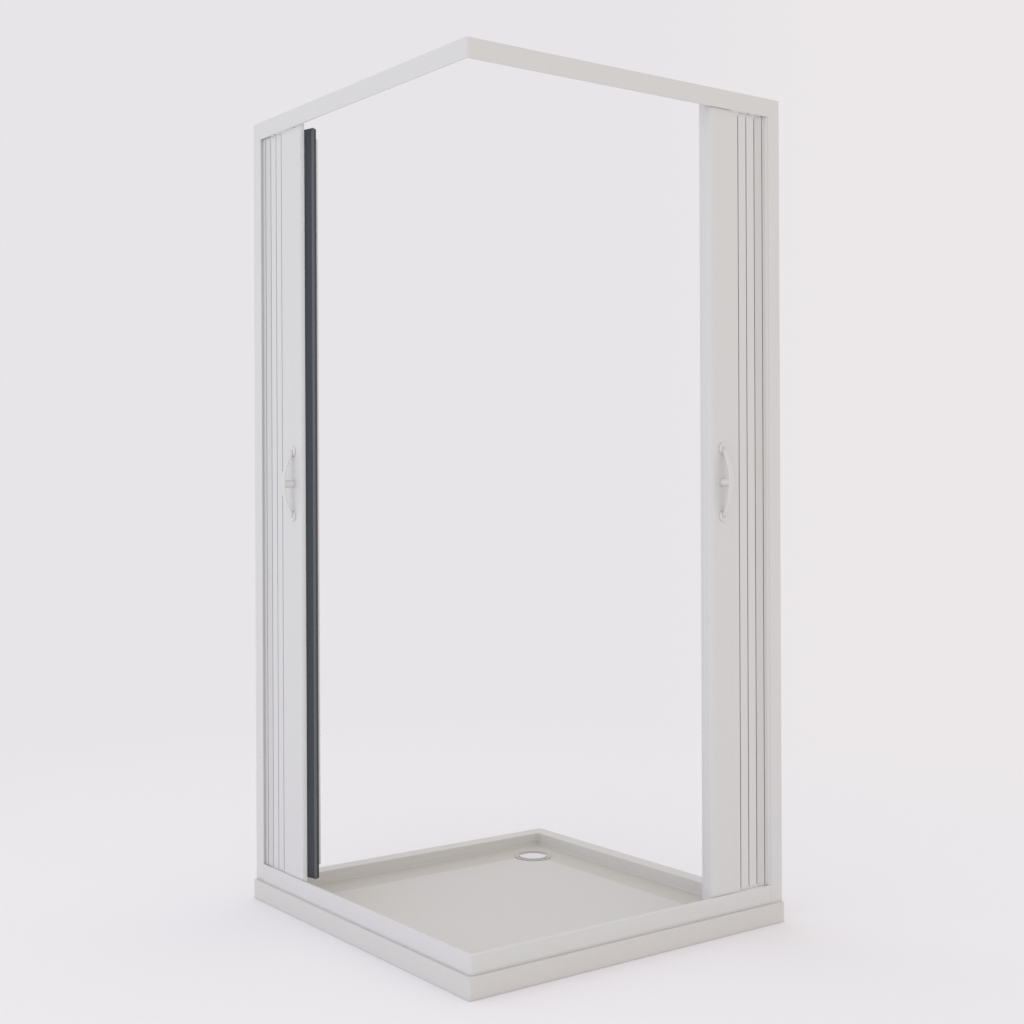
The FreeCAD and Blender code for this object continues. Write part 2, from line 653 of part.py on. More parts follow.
def make_handle():
    """A bow between two screwed pads, wider in the middle, on a stout middle peg."""
    face = STILE_RECESS
    low, high = handle_screw_heights()
    rise = BOW_HEIGHT
    out = face - rise
    arch = outline(
        (HANDLE_X, face - PAD_THICKNESS, low),
        ((HANDLE_X, out, HANDLE_Z), (HANDLE_X, face - PAD_THICKNESS, high)),
        (HANDLE_X, face, high),
        ((HANDLE_X, out + BOW_THICKNESS, HANDLE_Z), (HANDLE_X, face, low)),
    )
    bow = arch.extrude(Vec(BOW_MIDDLE_WIDTH, 0, 0))
    bow.translate(Vec(-BOW_MIDDLE_WIDTH / 2, 0, 0))
    wide = BOW_MIDDLE_WIDTH / 2
    narrow = BOW_END_WIDTH / 2
    leaf = outline(
        (HANDLE_X - narrow, out - BOW_THICKNESS, low),
        ((HANDLE_X - wide, out - BOW_THICKNESS, HANDLE_Z), (HANDLE_X - narrow, out - BOW_THICKNESS, high)),
        (HANDLE_X + narrow, out - BOW_THICKNESS, high),
        ((HANDLE_X + wide, out - BOW_THICKNESS, HANDLE_Z), (HANDLE_X + narrow, out - BOW_THICKNESS, low)),
    )
    bow = bow.common(leaf.extrude(Vec(0, rise + 2 * BOW_THICKNESS, 0)))
    peg_top = out + BOW_THICKNESS / 2
    pieces = [bow, peg(PEG_R, (HANDLE_X, peg_top, HANDLE_Z), (0, 1, 0), face - peg_top)]
    for z in (low, high):
        pieces.append(peg(PAD_R, (HANDLE_X, face - PAD_THICKNESS, z), (0, 1, 0), PAD_THICKNESS))
    handle = joined(*pieces)
    for z in (low, high):
        # a flat seat for the screw's head, and its hole
        seat = peg(HANDLE_SCREW_HEAD_R + SCREW_CLEARANCE, (HANDLE_X, out, z), (0, 1, 0), rise - PAD_THICKNESS)
        hole = peg(HANDLE_SCREW_R + SCREW_CLEARANCE, (HANDLE_X, out, z), (0, 1, 0), rise + PAD_THICKNESS)
        handle = handle.cut(seat).cut(hole)
    return handle


def make_handle_screws():
    """Two round-headed screws through the handle's pads into the stile."""
    seat = STILE_RECESS - PAD_THICKNESS
    screws = []
    for z in handle_screw_heights():
        shank = peg(HANDLE_SCREW_R, (HANDLE_X, seat, z), (0, 1, 0), HANDLE_SCREW_LENGTH)
        head_face = seat - HANDLE_SCREW_HEAD
        head = peg(HANDLE_SCREW_HEAD_R, (HANDLE_X, head_face, z), (0, 1, 0), HANDLE_SCREW_HEAD)
        rim = [e for e in head.Edges if all(abs(v.Y - head_face) < 1e-6 for v in e.Vertexes)]
        head = head.makeFillet(HANDLE_SCREW_ROUND, rim)
        screws.append(joined(head, shank))
    return Part.makeCompound(screws)


def wall_hole_heights():
    """The heights of a post's wall screws, evenly spaced about its middle."""
    middle = (TRAY_HEIGHT + RAIL_LOW) / 2
    return [middle + WALL_HOLE_STEP * (n - (WALL_HOLES - 1) / 2) for n in range(WALL_HOLES)]


def make_post():
    """A hollow wall post whose front stands proud of the leaf, with a flange beside the first cover strip,
    a hook for the first slat's bead and holes to the wall."""
    wall = PROFILE_WALL
    inner = POST_INNER + POST_LIP
    shell = box(inner, HALF, 0, RAIL_DEPTH, TRAY_HEIGHT, RAIL_LOW)
    lip = box(POST_INNER, inner + wall, 0, STRIP_BACK, TRAY_HEIGHT, RAIL_LOW)
    flange_x = JAMB_X - STRIP_WIDTH / 2
    flange = box(flange_x, POST_INNER, STRIP_RECESS, STRIP_BACK, LEAF_LOW, LEAF_HIGH)
    turn = neck_turn()
    start = turn + FOLD_TURN + mouth_margin()
    end = turn - mouth_margin() + 2 * math.pi
    hook = ring_sector((JAMB_X, PIVOT_Y), start, end, LEAF_LOW, LEAF_HIGH)
    arm_x = JAMB_X + HOOK_IN + HOOK_WALL / 2
    arm = web((arm_x, PIVOT_Y), (inner + wall, PIVOT_Y), HOOK_WEB, LEAF_LOW, LEAF_HIGH)
    hollow = box(inner + wall, HALF - wall, wall, RAIL_DEPTH - wall, TRAY_HEIGHT, RAIL_LOW)
    post = joined(shell, lip, flange, hook, arm).cut(hollow)
    for z in wall_hole_heights():
        post = post.cut(peg(WALL_HOLE_R, (HALF - 2 * wall, WALL_HOLE_DEPTH, z), (1, 0, 0), 3 * wall))
        post = post.cut(peg(DRIVER_HOLE_R, (inner - wall, WALL_HOLE_DEPTH, z), (1, 0, 0), 3 * wall))
    return post


def make_joiner(low, high):
    """An angle block inside the hollow ends of two bars that meet at the front corner, the bars' lower
    and upper sides being at two heights."""
    gap = PROFILE_WALL + JOINER_CLEARANCE
    reach = RAIL_DEPTH + JOINER_ARM
    near = FRONT + gap
    far = FRONT + RAIL_DEPTH - gap
    along_x = box(near, FRONT + reach, near, far, low + gap, high - gap)
    along_y = box(near, far, near, FRONT + reach, low + gap, high - gap)
    return joined(along_x, along_y)


def make_top_joiner():
    """The upper angle block, with its screw holes."""
    joiner = make_joiner(RAIL_LOW, RAIL_TOP)
    space = corner_screw(SCREW_CLEARANCE)
    return joiner.cut(on_right(space)).cut(on_left(space))


def make_corner_screws():
    """One screw into each arm of the upper angle block."""
    screw = corner_screw(0)
    return Part.makeCompound([on_right(screw), on_left(screw)])


def make_rail_cap():
    """A cap on the rail's end at the wall, with a plug inside the rail."""
    gap = PROFILE_WALL + JOINER_CLEARANCE
    end = HALF - CAP_THICKNESS
    plate = box(end, HALF, 0, RAIL_DEPTH, RAIL_LOW, RAIL_TOP)
    plug = box(end - CAP_PLUG, end, gap, RAIL_DEPTH - gap, RAIL_LOW + gap, RAIL_TOP - gap)
    return joined(plate, plug)


def make_leaf():
    """Every piece that hangs between a wall post and the front corner, on both sides."""
    plain = make_slat(False, False)
    holed = make_slat(False, True)
    hooked = flipped(make_slat(True, False))
    strip = make_strip()
    for n in range(1, PLEATS + 1):
        outer_x = JAMB_X - 2 * SLAT_PITCH * (n - 1)
        next_x = outer_x - 2 * SLAT_PITCH
        save_pair("slat_%d" % (2 * n - 1), moved_along(plain if n == 1 else holed, outer_x))
        save_pair("slat_%d" % (2 * n), moved_along(hooked, next_x))
        if n < PLEATS:
            save_pair("cover_strip_%d" % n, moved_along(strip, next_x))
    middle_strip_x = JAMB_X - 2 * SLAT_PITCH * (PLEATS // 2)
    save_pair("strip_hanger", hanger(middle_strip_x, LEAF_HIGH))
    for side, placed, thickness, nose_r in (
        ("left_", on_left, LEFT_STILE_THICKNESS, LEFT_NOSE_R),
        ("right_", on_right, RIGHT_STILE_THICKNESS, RIGHT_NOSE_R),
    ):
        save(side + "stile", placed(make_stile(thickness, nose_r)))
        save(side + "top_glider", placed(make_top_glider(thickness, nose_r)))
        save(side + "bottom_glider", placed(make_bottom_glider(thickness, nose_r)))
    save_pair("handle", make_handle())
    save_pair("handle_screws", make_handle_screws())
    save("left_closing_profile", on_left(make_closer()))
    save("right_catch_strip", on_right(make_catch()))


os.makedirs("parts", exist_ok=True)
save("shower_tray", make_tray())
make_waste()
save_pair("top_rail", make_rail())
save_pair("bottom_track", make_track())
save_pair("wall_post", make_post())
save_pair("rail_cap", make_rail_cap())
save("top_corner_joiner", make_top_joiner())
save("bottom_corner_joiner", make_joiner(TRAY_HEIGHT, TRACK_TOP))
save("corner_screws", make_corner_screws())
make_leaf()
print("fold turn", round(math.degrees(FOLD_TURN), 3))
print("pivot depth", round(PIVOT_Y, 3), "slat depth", round(SLAT_DEPTH, 3))
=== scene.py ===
"""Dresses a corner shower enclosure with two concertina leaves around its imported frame."""

import json
import math
from collections import namedtuple

import bmesh
import bpy
import numpy as np
from bpy.props import FloatProperty, FloatVectorProperty, PointerProperty
from mathutils import Matrix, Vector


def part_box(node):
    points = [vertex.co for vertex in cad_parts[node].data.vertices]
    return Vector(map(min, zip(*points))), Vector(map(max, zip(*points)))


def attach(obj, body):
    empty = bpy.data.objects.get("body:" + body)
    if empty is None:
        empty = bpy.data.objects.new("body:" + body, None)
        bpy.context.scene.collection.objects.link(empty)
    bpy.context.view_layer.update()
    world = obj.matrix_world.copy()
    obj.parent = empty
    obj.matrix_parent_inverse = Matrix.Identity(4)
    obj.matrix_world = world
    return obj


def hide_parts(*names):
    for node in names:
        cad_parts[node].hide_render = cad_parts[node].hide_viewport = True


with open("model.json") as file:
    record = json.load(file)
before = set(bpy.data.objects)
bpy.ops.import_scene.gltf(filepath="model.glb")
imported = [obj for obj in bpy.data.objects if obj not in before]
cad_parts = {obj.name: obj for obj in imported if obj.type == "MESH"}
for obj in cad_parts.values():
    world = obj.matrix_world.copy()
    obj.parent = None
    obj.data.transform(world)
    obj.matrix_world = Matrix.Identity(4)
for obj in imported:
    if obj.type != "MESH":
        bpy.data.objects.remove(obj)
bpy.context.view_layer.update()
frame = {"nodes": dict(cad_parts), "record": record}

bl_info = {
    "name": "Corner Shower Enclosure",
    "version": (1, 0, 0),
    "blender": (4, 5, 0),
    "location": "View3D > Sidebar > Enclosure",
    "description": "Dresses a corner shower enclosure with folding leaves, piece by piece",
    "category": "Object",
}

SIDES = ("left", "right")
STRIPS = (1, 2, 3)
FIXED = "enclosure_frame"
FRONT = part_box("right_top_rail")[0][1]
TRAY_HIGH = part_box("shower_tray")[1]
COVER_LOW, COVER_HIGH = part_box("waste_cover")

# radii of small edges, from nearly sharp to softly eased
HAIR = 0.0001
FINE = 0.0002
CRISP = 0.0003
BROKEN = 0.0004
BLUNT = 0.0005
EASED = 0.0008
SOFT = 0.001
# how far a shell reaches into the one beside it
OVERLAP = 0.001
# points nearer than this become one, and edges that turn by more than this stay sharp
MERGE = 1e-6
CREASE = math.radians(35)

WallBox = namedtuple("WallBox", "start end near far low high")
TrayPlan = namedtuple("TrayPlan", "half top rim edge flat floor floor_z waste")


def srgb(red, green, blue):
    """A colour written in 0 to 255 as the linear values that shaders take."""
    written = np.array((red, green, blue)) / 255
    return tuple(np.where(written <= 0.04045, written / 12.92, ((written + 0.055) / 1.055) ** 2.4))


def length(name, description, default):
    """A length in metres that a user can change."""
    return FloatProperty(name=name, description=description, default=default, unit="LENGTH", precision=4)


def colour(name, description, red, green, blue):
    """A colour that a user can change, written in 0 to 255."""
    return FloatVectorProperty(
        name=name, description=description, default=srgb(red, green, blue),
        subtype="COLOR", size=3, min=0.0, max=1.0,
    )


class TraySizes(bpy.types.PropertyGroup):
    """The sizes of the tray and its waste."""

    rim: length("Rim", "Width of the flat rim round the basin", 0.040)
    wall_drop: length("Wall drop", "Height of the basin's inner wall", 0.028)
    wall_draft: length("Wall draft", "How far the inner wall leans out over its height", 0.006)
    band: length("Band", "Width of the sloping band along the inner wall", 0.078)
    band_drop: length("Band drop", "How far the band falls towards the floor", 0.004)
    corner: length("Corner rounding", "Radius of the outer upright corners", 0.005)
    basin_corner: length("Basin corner", "Radius of the basin's upright corners", 0.004)
    edge: length("Edge rounding", "Radius of the rim's long edges", 0.002)
    foot: length("Foot rounding", "Radius where the inner wall meets the band", 0.004)
    dish: length("Dish", "Radius of the dish round the waste at floor height", 0.055)
    seat: length("Seat", "Radius of the flat seat in the dish", 0.046)
    dish_depth: length("Dish depth", "How far the seat lies below the floor", 0.003)
    hole: length("Hole", "Radius of the waste hole", 0.038)
    cover: length("Cover", "Radius of the waste's chrome cover", 0.0385)
    cover_crown: length("Cover crown", "How far the cover's dome falls from its middle to its edge", 0.0032)
    cover_roll: length("Cover edge", "Radius of the cover's rolled edge", 0.0008)
    cover_height: length("Cover height", "Height of the cover with its skirt", 0.0066)


class FrameSizes(bpy.types.PropertyGroup):
    """The sizes of rails, tracks and posts."""

    wall: length("Profile wall", "Wall thickness of the hollow bars", 0.002)
    edge: length("Edge rounding", "Radius of the bars' long edges", 0.0018)
    body: length("Body height", "Height of the bars' hollow body, without the lip", 0.032)
    lip: length("Lip", "Depth of the lip's flat or round front part", 0.004)
    track_edge: length("Track edge", "Radius of the front edge of the track's lip", 0.0032)
    relief: length("Relief", "How far the inner edge lies back behind the lip's slope", 0.003)
    nose: length("Corner nose", "Radius of the upright edge at the front corner", 0.0068)
    slot: length("Slot", "Width of the running slot below the rail", 0.005)
    groove_low: length("Groove height", "Height of the guide groove over the track's foot", 0.014)
    groove: length("Groove", "Width of the guide groove", 0.005)
    pivot: length("Pivot depth", "Depth of the outer hinge line behind the frame's face", 0.0112)
    jamb: length("Jamb pivot", "Place of the first slat's hinge along the wall", 0.4125)
    hook_in: length("Hook inside", "Inner radius of the hook round the first slat's bead", 0.00268)
    hook_out: length("Hook outside", "Outer radius of the hook round the first slat's bead", 0.00358)
    hook_web: length("Hook web", "Thickness of the web that carries the hook", 0.0014)
    post_lip: length("Post lip", "How far the post's front lip reaches past its box", 0.004)
    post_edge: length("Post edge", "Radius of the front edge of the post's lip", 0.0016)
    post_step: length("Post step", "Width of the slope between the right post's flange and its front", 0.005)
    flange: length("Flange", "Thickness of the post's flange and of the cover strips", 0.0012)
    screw_head: length("Corner screw", "Radius of the corner screws' heads", 0.0038)


class LeafSizes(bpy.types.PropertyGroup):
    """The sizes of stiles, cover strips and the closing profile."""

    stile: length("Stile width", "Width of the lead stile's box", 0.0695)
    left_nose: length("Left nose", "Radius of the left stile's leading front edge", 0.0018)
    right_nose: length("Right nose", "Radius of the right stile's leading front edge", 0.014)
    stile_edge: length("Stile edge", "Radius of the stile's front edge beside its flange", 0.0012)
    back: length("Back rounding", "Radius of the stile's leading back edge", 0.0012)
    bead: length("Bead", "Radius of the stile's hinge bead", 0.0026)
    bead_to_end: length("Bead to end", "Distance from the bead's middle to the flange's end", 0.012)
    neck: length("Neck", "Thickness of the neck that carries the bead", 0.0008)
    # the end lining is a thin sheet that carries painted light over the shaded end of the left stile
    lining: length("Lining", "How far the left stile's end lining stands out", 0.0004)
    overrun: length("Overrun", "How much nearer strips and stiles come to the lips of rail and track", 0.0015)
    strip_edge: length("Strip edge", "Radius of the cover strips' front edges", 0.0008)
    lug: length("Lug", "Half width of the strips' end lugs", 0.0035)
    lug_thickness: length("Lug thickness", "Thickness of the strips' end lugs", 0.0024)
    closing_overrun: length("Closing overrun", "How much further down the closing profile reaches", 0.004)
    root: length("Closing root", "How far the closing profile reaches behind the left stile", 0.022)
    root_edge: length("Root edge", "Thickness of the closing profile's root at its end", 0.0025)
    bulb: length("Bulb", "Radius of the closing profile's bulb", 0.003)
    bulb_reach: length("Bulb reach", "Distance from the stile's nose to the bulb's middle", 0.026)
    bulb_depth: length("Bulb depth", "Depth of the bulb's middle behind the frame's face", 0.025)
    far_reach: length("Far edge", "Distance from the stile's nose to the closing profile's far edge", 0.021)


class HandleSizes(bpy.types.PropertyGroup):
    """The sizes of the two pull handles."""

    spacing: length("Spacing", "Distance between the two screws", 0.152)
    pad: length("Pad", "Radius of the screwed pads", 0.012)
    pad_thickness: length("Pad thickness", "Thickness of the pads", 0.004)
    rise: length("Rise", "How far the bow stands out from the stile", 0.029)
    thickness: length("Bow thickness", "Thickness of the bow", 0.0045)
    end_width: length("End width", "Width of the bow at the pads", 0.009)
    middle_width: length("Middle width", "Width of the bow in the middle", 0.015)
    peg: length("Peg", "Radius of the middle peg", 0.009)


class Finishes(bpy.types.PropertyGroup):
    """The colours of the enclosure's materials."""

    pvc: colour("Extruded plastic", "White extruded bars and uprights", 217, 216, 217)
    # painted shade: darker than the extruded plastic where the proud posts keep light from flanges and strips
    painted_shade_pvc: colour("Shaded plastic", "Flanges and strips beside the posts", 208, 207, 207)
    slat: colour("Slats", "White folding slats", 230, 229, 229)
    moulding: colour("Mouldings", "White moulded handles and caps", 218, 217, 217)
    acrylic: colour("Tray", "White tray", 213, 211, 209)
    # painted shade: multiplied over the basin's sloping band to darken and warm it
    band: colour("Tray band", "Tint of the basin's sloping band", 242, 239, 234)
    # painted light: brighter than the plastic so that the shaded end of the left stile looks lit
    lining: colour("End lining", "Bright lining on the left stile's end", 245, 247, 248)
    seal: colour("Closing strip", "Dark closing strip", 50, 55, 63)
    # painted light: lighter than the dark strip, standing for the bulb's lit side
    bulb: colour("Closing bulb", "Grey bulb of the closing strip", 92, 96, 102)
    rubber: colour("Rubber", "Grey seal under the waste", 124, 123, 121)
    waste: colour("Waste body", "Pale grey plastic waste body", 208, 206, 203)
    chrome: colour("Chrome", "Bright waste cover", 235, 235, 236)
    nylon: colour("Nylon", "Gliders and hangers", 205, 203, 196)
    steel: colour("Steel", "Screws", 176, 176, 178)
    lacquer: colour("Lacquer", "White lacquered heads of the handles' screws", 203, 202, 204)


class StageSettings(bpy.types.PropertyGroup):
    """The camera, lamps, floor and background."""

    camera: FloatVectorProperty(
        name="Camera", description="Where the camera stands", default=(-2.1613, -2.8078, 1.0240),
        subtype="TRANSLATION", unit="LENGTH", size=3,
    )
    yaw: FloatProperty(
        name="Yaw", description="Camera's turn to the right of the y axis",
        default=math.radians(35.292), subtype="ANGLE", unit="ROTATION",
    )
    roll: FloatProperty(
        name="Roll", description="Camera's turn about its own axis",
        default=math.radians(-0.243), subtype="ANGLE", unit="ROTATION",
    )
    lens: FloatProperty(name="Lens", description="Focal length", default=52.274, unit="CAMERA")
    shift_x: FloatProperty(name="Shift across", description="Camera shift across", default=0.06069)
    shift_y: FloatProperty(name="Shift up", description="Camera shift up", default=-0.03191)
    background: colour("Background", "What the camera sees behind the object", 231, 229, 232)
    right_background: colour("Right background", "What it sees on the far right", 236, 232, 233)
    floor: colour("Floor", "The floor's own colour", 246, 244, 248)
    ambient: FloatProperty(name="Ambient", description="Strength of the even light", default=1.0, min=0.0)
    cool_light: FloatVectorProperty(
        name="Cool light", description="Colour of the even light from the left", default=(0.945, 0.96, 1.0),
        subtype="COLOR", size=3, min=0.0, max=1.0,
    )
    warm_light: FloatVectorProperty(
        name="Warm light", description="Colour of the even light from the right", default=(0.845, 0.81, 0.76),
        subtype="COLOR", size=3, min=0.0, max=1.0,
    )
    lamps: FloatProperty(name="Lamps", description="Power of the left soft lamp", default=11.0, unit="POWER")


def wall_box(node):
    """A node's reach along its wall, inwards from the frame's outer face, and up."""
    low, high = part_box(node)
    along, inwards = (1, 0) if node.startswith("left") else (0, 1)
    return WallBox(low[along], high[along], low[inwards] - FRONT, high[inwards] - FRONT, low[2], high[2])


def on_wall(side, along, inwards, up):
    """Points of the wall drawing at their place; the left wall is the right one with x and y swapped."""
    along, inwards, up = np.broadcast_arrays(along, np.asarray(inwards) + FRONT, up)
    first, second = (along, inwards) if side == "right" else (inwards, along)
    return np.stack((first, second, up), axis=-1)


def grid_faces(rows, columns, closed=True, start=0):
    """Four-cornered faces between neighbours in a grid; closed joins the last column to the first."""
    row = np.arange(rows - 1)[:, None] * columns
    column = np.arange(columns if closed else columns - 1)[None, :]
    after = (column + 1) % columns
    corners = (row + column, row + after, row + columns + after, row + columns + column)
    return start + np.stack(np.broadcast_arrays(*corners), axis=-1).reshape(-1, 4)


def capped(rings):
    """A bar: a closed outline repeated ring by ring, with one face over each end."""
    rows, columns = rings.shape[:2]
    faces = grid_faces(rows, columns).tolist()
    faces.append(list(range(columns)))
    faces.append(list(range((rows - 1) * columns, rows * columns)))
    return rings.reshape(-1, 3), faces


def together(*shells):
    """Several closed shells as one list of points and one of faces."""
    counts = np.cumsum([0] + [len(points) for points, faces in shells])
    points = np.concatenate([points for points, faces in shells])
    faces = [[start + n for n in face] for start, shell in zip(counts, shells) for face in shell[1]]
    return points, faces


def four_corners(first, last, near, far):
    """The corners of a rectangle, in order round it."""
    return (first, near), (last, near), (last, far), (first, far)


def rounded(corners, radii, steps=6, hold=CRISP):
    """A closed outline with round corners. Each arc starts radius times the tangent of half the turn before
    its corner and turns evenly; one more point just outside each end keeps flat stretches flat in shading."""
    here = np.asarray(corners, dtype=float)
    radii = np.broadcast_to(np.asarray(radii, dtype=float), len(here))[:, None]
    into = here - np.roll(here, 1, axis=0)
    into /= np.linalg.norm(into, axis=1, keepdims=True)
    out = np.roll(into, -1, axis=0)
    turn = np.arctan2(into[:, 0] * out[:, 1] - into[:, 1] * out[:, 0], (into * out).sum(axis=1))[:, None]
    reach = radii * np.tan(np.abs(turn) / 2)
    spoke = np.stack((into[:, 1], -into[:, 0]), axis=1) * np.sign(turn) * radii
    centre = here - into * reach - spoke
    angle = turn * np.linspace(0, 1, steps + 1)[None, :]
    across = spoke[:, :1] * np.cos(angle) - spoke[:, 1:] * np.sin(angle)
    up = spoke[:, :1] * np.sin(angle) + spoke[:, 1:] * np.cos(angle)
    arc = centre[:, None, :] + np.stack((across, up), axis=-1)
    lead = (here - into * (reach + hold))[:, None, :]
    tail = (here + out * (reach + hold))[:, None, :]
    return np.concatenate((lead, arc, tail), axis=1).reshape(-1, 2)


def uprights(side, outline, low, high):
    """A plan outline of the wall drawing carried straight up; a height is one number or one per point."""
    heights = np.stack((np.broadcast_to(low, len(outline)), np.broadcast_to(high, len(outline))))
    return capped(on_wall(side, outline[None, :, 0], outline[None, :, 1], heights))


def turned(profile, steps=64):
    """A profile of radius and height turned round the upright axis; a radius of nought closes the pole."""
    angle = np.linspace(0, 2 * np.pi, steps, endpoint=False)[None, :]
    radius = profile[:, :1]
    height = np.broadcast_to(profile[:, 1:], (len(profile), steps))
    return np.stack((radius * np.cos(angle), radius * np.sin(angle), height), axis=-1)


def soft_ramp(value, soft):
    """Nought below and the value itself above nought, rounded over a short stretch: half the sum of the value
    and the root of its square plus the stretch's square."""
    return (value + np.sqrt(value ** 2 + soft ** 2)) / 2


def quarter_steps(radius, steps=5):
    """Points of a quarter arc: the radius times the sine, and times one minus the cosine, of an even turn."""
    turn = np.linspace(0, np.pi / 2, steps + 1)
    return radius * np.sin(turn), radius * (1 - np.cos(turn))


def add_piece(name, shell, material, body, nodes=()):
    """A closed shell as an object that rides on a body and stands for the named nodes."""
    points, faces = shell
    mesh = bpy.data.meshes.new(name)
    mesh.from_pydata(np.asarray(points).reshape(-1, 3).tolist(), [], [list(face) for face in faces])
    work = bmesh.new()
    work.from_mesh(mesh)
    bmesh.ops.remove_doubles(work, verts=work.verts, dist=MERGE)
    bmesh.ops.recalc_face_normals(work, faces=work.faces)
    work.to_mesh(mesh)
    work.free()
    mesh.polygons.foreach_set("use_smooth", np.ones(len(mesh.polygons), dtype=bool))
    mesh.set_sharp_from_angle(angle=CREASE)
    mesh.materials.append(material)
    piece = bpy.data.objects.new(name, mesh)
    bpy.context.scene.collection.objects.link(piece)
    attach(piece, body)
    if nodes:
        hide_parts(*nodes)
    return piece


def feed(tree, node, inputs):
    """Fill a node's inputs: a socket is linked, anything else becomes the input's own value."""
    for name, value in inputs.items():
        if isinstance(value, bpy.types.NodeSocket):
            tree.links.new(value, node.inputs[name])
        else:
            node.inputs[name].default_value = value


def add_node(tree, kind, inputs=None, **options):
    """A new node with its options set and its inputs filled."""
    node = tree.nodes.new(kind)
    for name, value in options.items():
        setattr(node, name, value)
    feed(tree, node, inputs or {})
    return node


def compute(tree, operation, *inputs):
    """The result of a math node."""
    return add_node(tree, "ShaderNodeMath", dict(enumerate(inputs)), operation=operation).outputs[0]


def blend(tree, share, first, second, kind="MIX"):
    """The colour that a mix node makes of two colours."""
    inputs = {"Factor": share, 6: first, 7: second}
    return add_node(tree, "ShaderNodeMix", inputs, data_type="RGBA", blend_type=kind).outputs[2]


def smooth_step(tree, value, start, end, first=0.0, last=1.0):
    """A value that turns smoothly from the first to the last one between two places."""
    inputs = {"Value": value, "From Min": start, "From Max": end, "To Min": first, "To Max": last}
    return add_node(tree, "ShaderNodeMapRange", inputs, interpolation_type="SMOOTHSTEP").outputs["Result"]


def add_group(name, inputs, outputs):
    """An empty shader group with named inputs and outputs, and its two end nodes."""
    tree = bpy.data.node_groups.new(name, "ShaderNodeTree")
    for label, kind, default in inputs:
        socket = tree.interface.new_socket(label, in_out="INPUT", socket_type=kind)
        socket.default_value = default
    for label, kind in outputs:
        tree.interface.new_socket(label, in_out="OUTPUT", socket_type=kind)
    return tree, add_node(tree, "NodeGroupInput").outputs, add_node(tree, "NodeGroupOutput")


def corner_shade():
    """A group that paints shade into a colour where other surfaces stand close, as corners get less light:
    the open share of the surroundings mixes the plain colour into the painted shade."""
    name = "Corner Shade"
    if name in bpy.data.node_groups:
        return bpy.data.node_groups[name]
    tree, given, end = add_group(
        name,
        (
            ("Colour", "NodeSocketColor", (0.8, 0.8, 0.8, 1)),
            ("Shade", "NodeSocketColor", (0.3, 0.3, 0.3, 1)),
            ("Distance", "NodeSocketFloat", 0.1),
        ),
        (("Colour", "NodeSocketColor"),),
    )
    near = add_node(tree, "ShaderNodeAmbientOcclusion", {"Distance": given["Distance"]}, samples=8)
    feed(tree, end, {"Colour": blend(tree, near.outputs["AO"], given["Shade"], given["Colour"])})
    return tree


def drawn_grain():
    """A group for plastic pulled through a die: noise stretched along one axis gives a faint tone, a change
    of roughness and a height; the Stretch input scales the pattern along each axis."""
    name = "Drawn Grain"
    if name in bpy.data.node_groups:
        return bpy.data.node_groups[name]
    tree, given, end = add_group(
        name,
        (
            ("Colour", "NodeSocketColor", (0.8, 0.8, 0.8, 1)),
            ("Stretch", "NodeSocketVector", (1, 1, 1)),
            ("Tone", "NodeSocketFloat", 0.03),
            ("Roughness", "NodeSocketFloat", 0.4),
            ("Roughness Change", "NodeSocketFloat", 0.08),
        ),
        (("Colour", "NodeSocketColor"), ("Roughness", "NodeSocketFloat"), ("Height", "NodeSocketFloat")),
    )
    place = add_node(tree, "ShaderNodeTexCoord").outputs["Object"]
    scaled = add_node(tree, "ShaderNodeVectorMath", {0: place, 1: given["Stretch"]}, operation="MULTIPLY")
    noise = add_node(
        tree, "ShaderNodeTexNoise", {"Vector": scaled.outputs[0], "Scale": 1.0, "Detail": 4.0},
    ).outputs["Fac"]
    centred = compute(tree, "SUBTRACT", noise, 0.5)
    tone = compute(tree, "MULTIPLY_ADD", centred, given["Tone"], 1.0)
    tint = add_node(tree, "ShaderNodeVectorMath", {0: given["Colour"], "Scale": tone}, operation="SCALE")
    rough = compute(tree, "MULTIPLY_ADD", centred, given["Roughness Change"], given["Roughness"])
    feed(tree, end, {"Colour": tint.outputs[0], "Roughness": rough, "Height": noise})
    return tree


def painted_band_shade():
    """A group that paints shade over the basin's sloping band, darker and warmer: the larger of the distances
    from the two middle lines lies past the floor's edge and short of the wall's foot, each with a soft step."""
    name = "Basin Band"
    if name in bpy.data.node_groups:
        return bpy.data.node_groups[name]
    tree, given, end = add_group(
        name,
        (
            ("Colour", "NodeSocketColor", (0.8, 0.8, 0.8, 1)),
            ("Band", "NodeSocketColor", (0.9, 0.9, 0.9, 1)),
            ("Floor Half", "NodeSocketFloat", 0.326),
            ("Wall Half", "NodeSocketFloat", 0.402),
            ("Softness", "NodeSocketFloat", 0.004),
        ),
        (("Colour", "NodeSocketColor"),),
    )
    place = add_node(tree, "ShaderNodeTexCoord").outputs["Object"]
    positive = add_node(tree, "ShaderNodeVectorMath", {0: place}, operation="ABSOLUTE")
    axes = add_node(tree, "ShaderNodeSeparateXYZ", {0: positive.outputs[0]}).outputs
    out = compute(tree, "MAXIMUM", axes["X"], axes["Y"])
    steps = []
    for edge, first, last in (("Floor Half", 0.0, 1.0), ("Wall Half", 1.0, 0.0)):
        past = compute(tree, "SUBTRACT", out, given[edge])
        share = compute(tree, "DIVIDE", past, given["Softness"])
        steps.append(smooth_step(tree, share, -1.0, 1.0, first, last))
    within = compute(tree, "MULTIPLY", *steps)
    feed(tree, end, {"Colour": blend(tree, within, given["Colour"], given["Band"], "MULTIPLY")})
    return tree


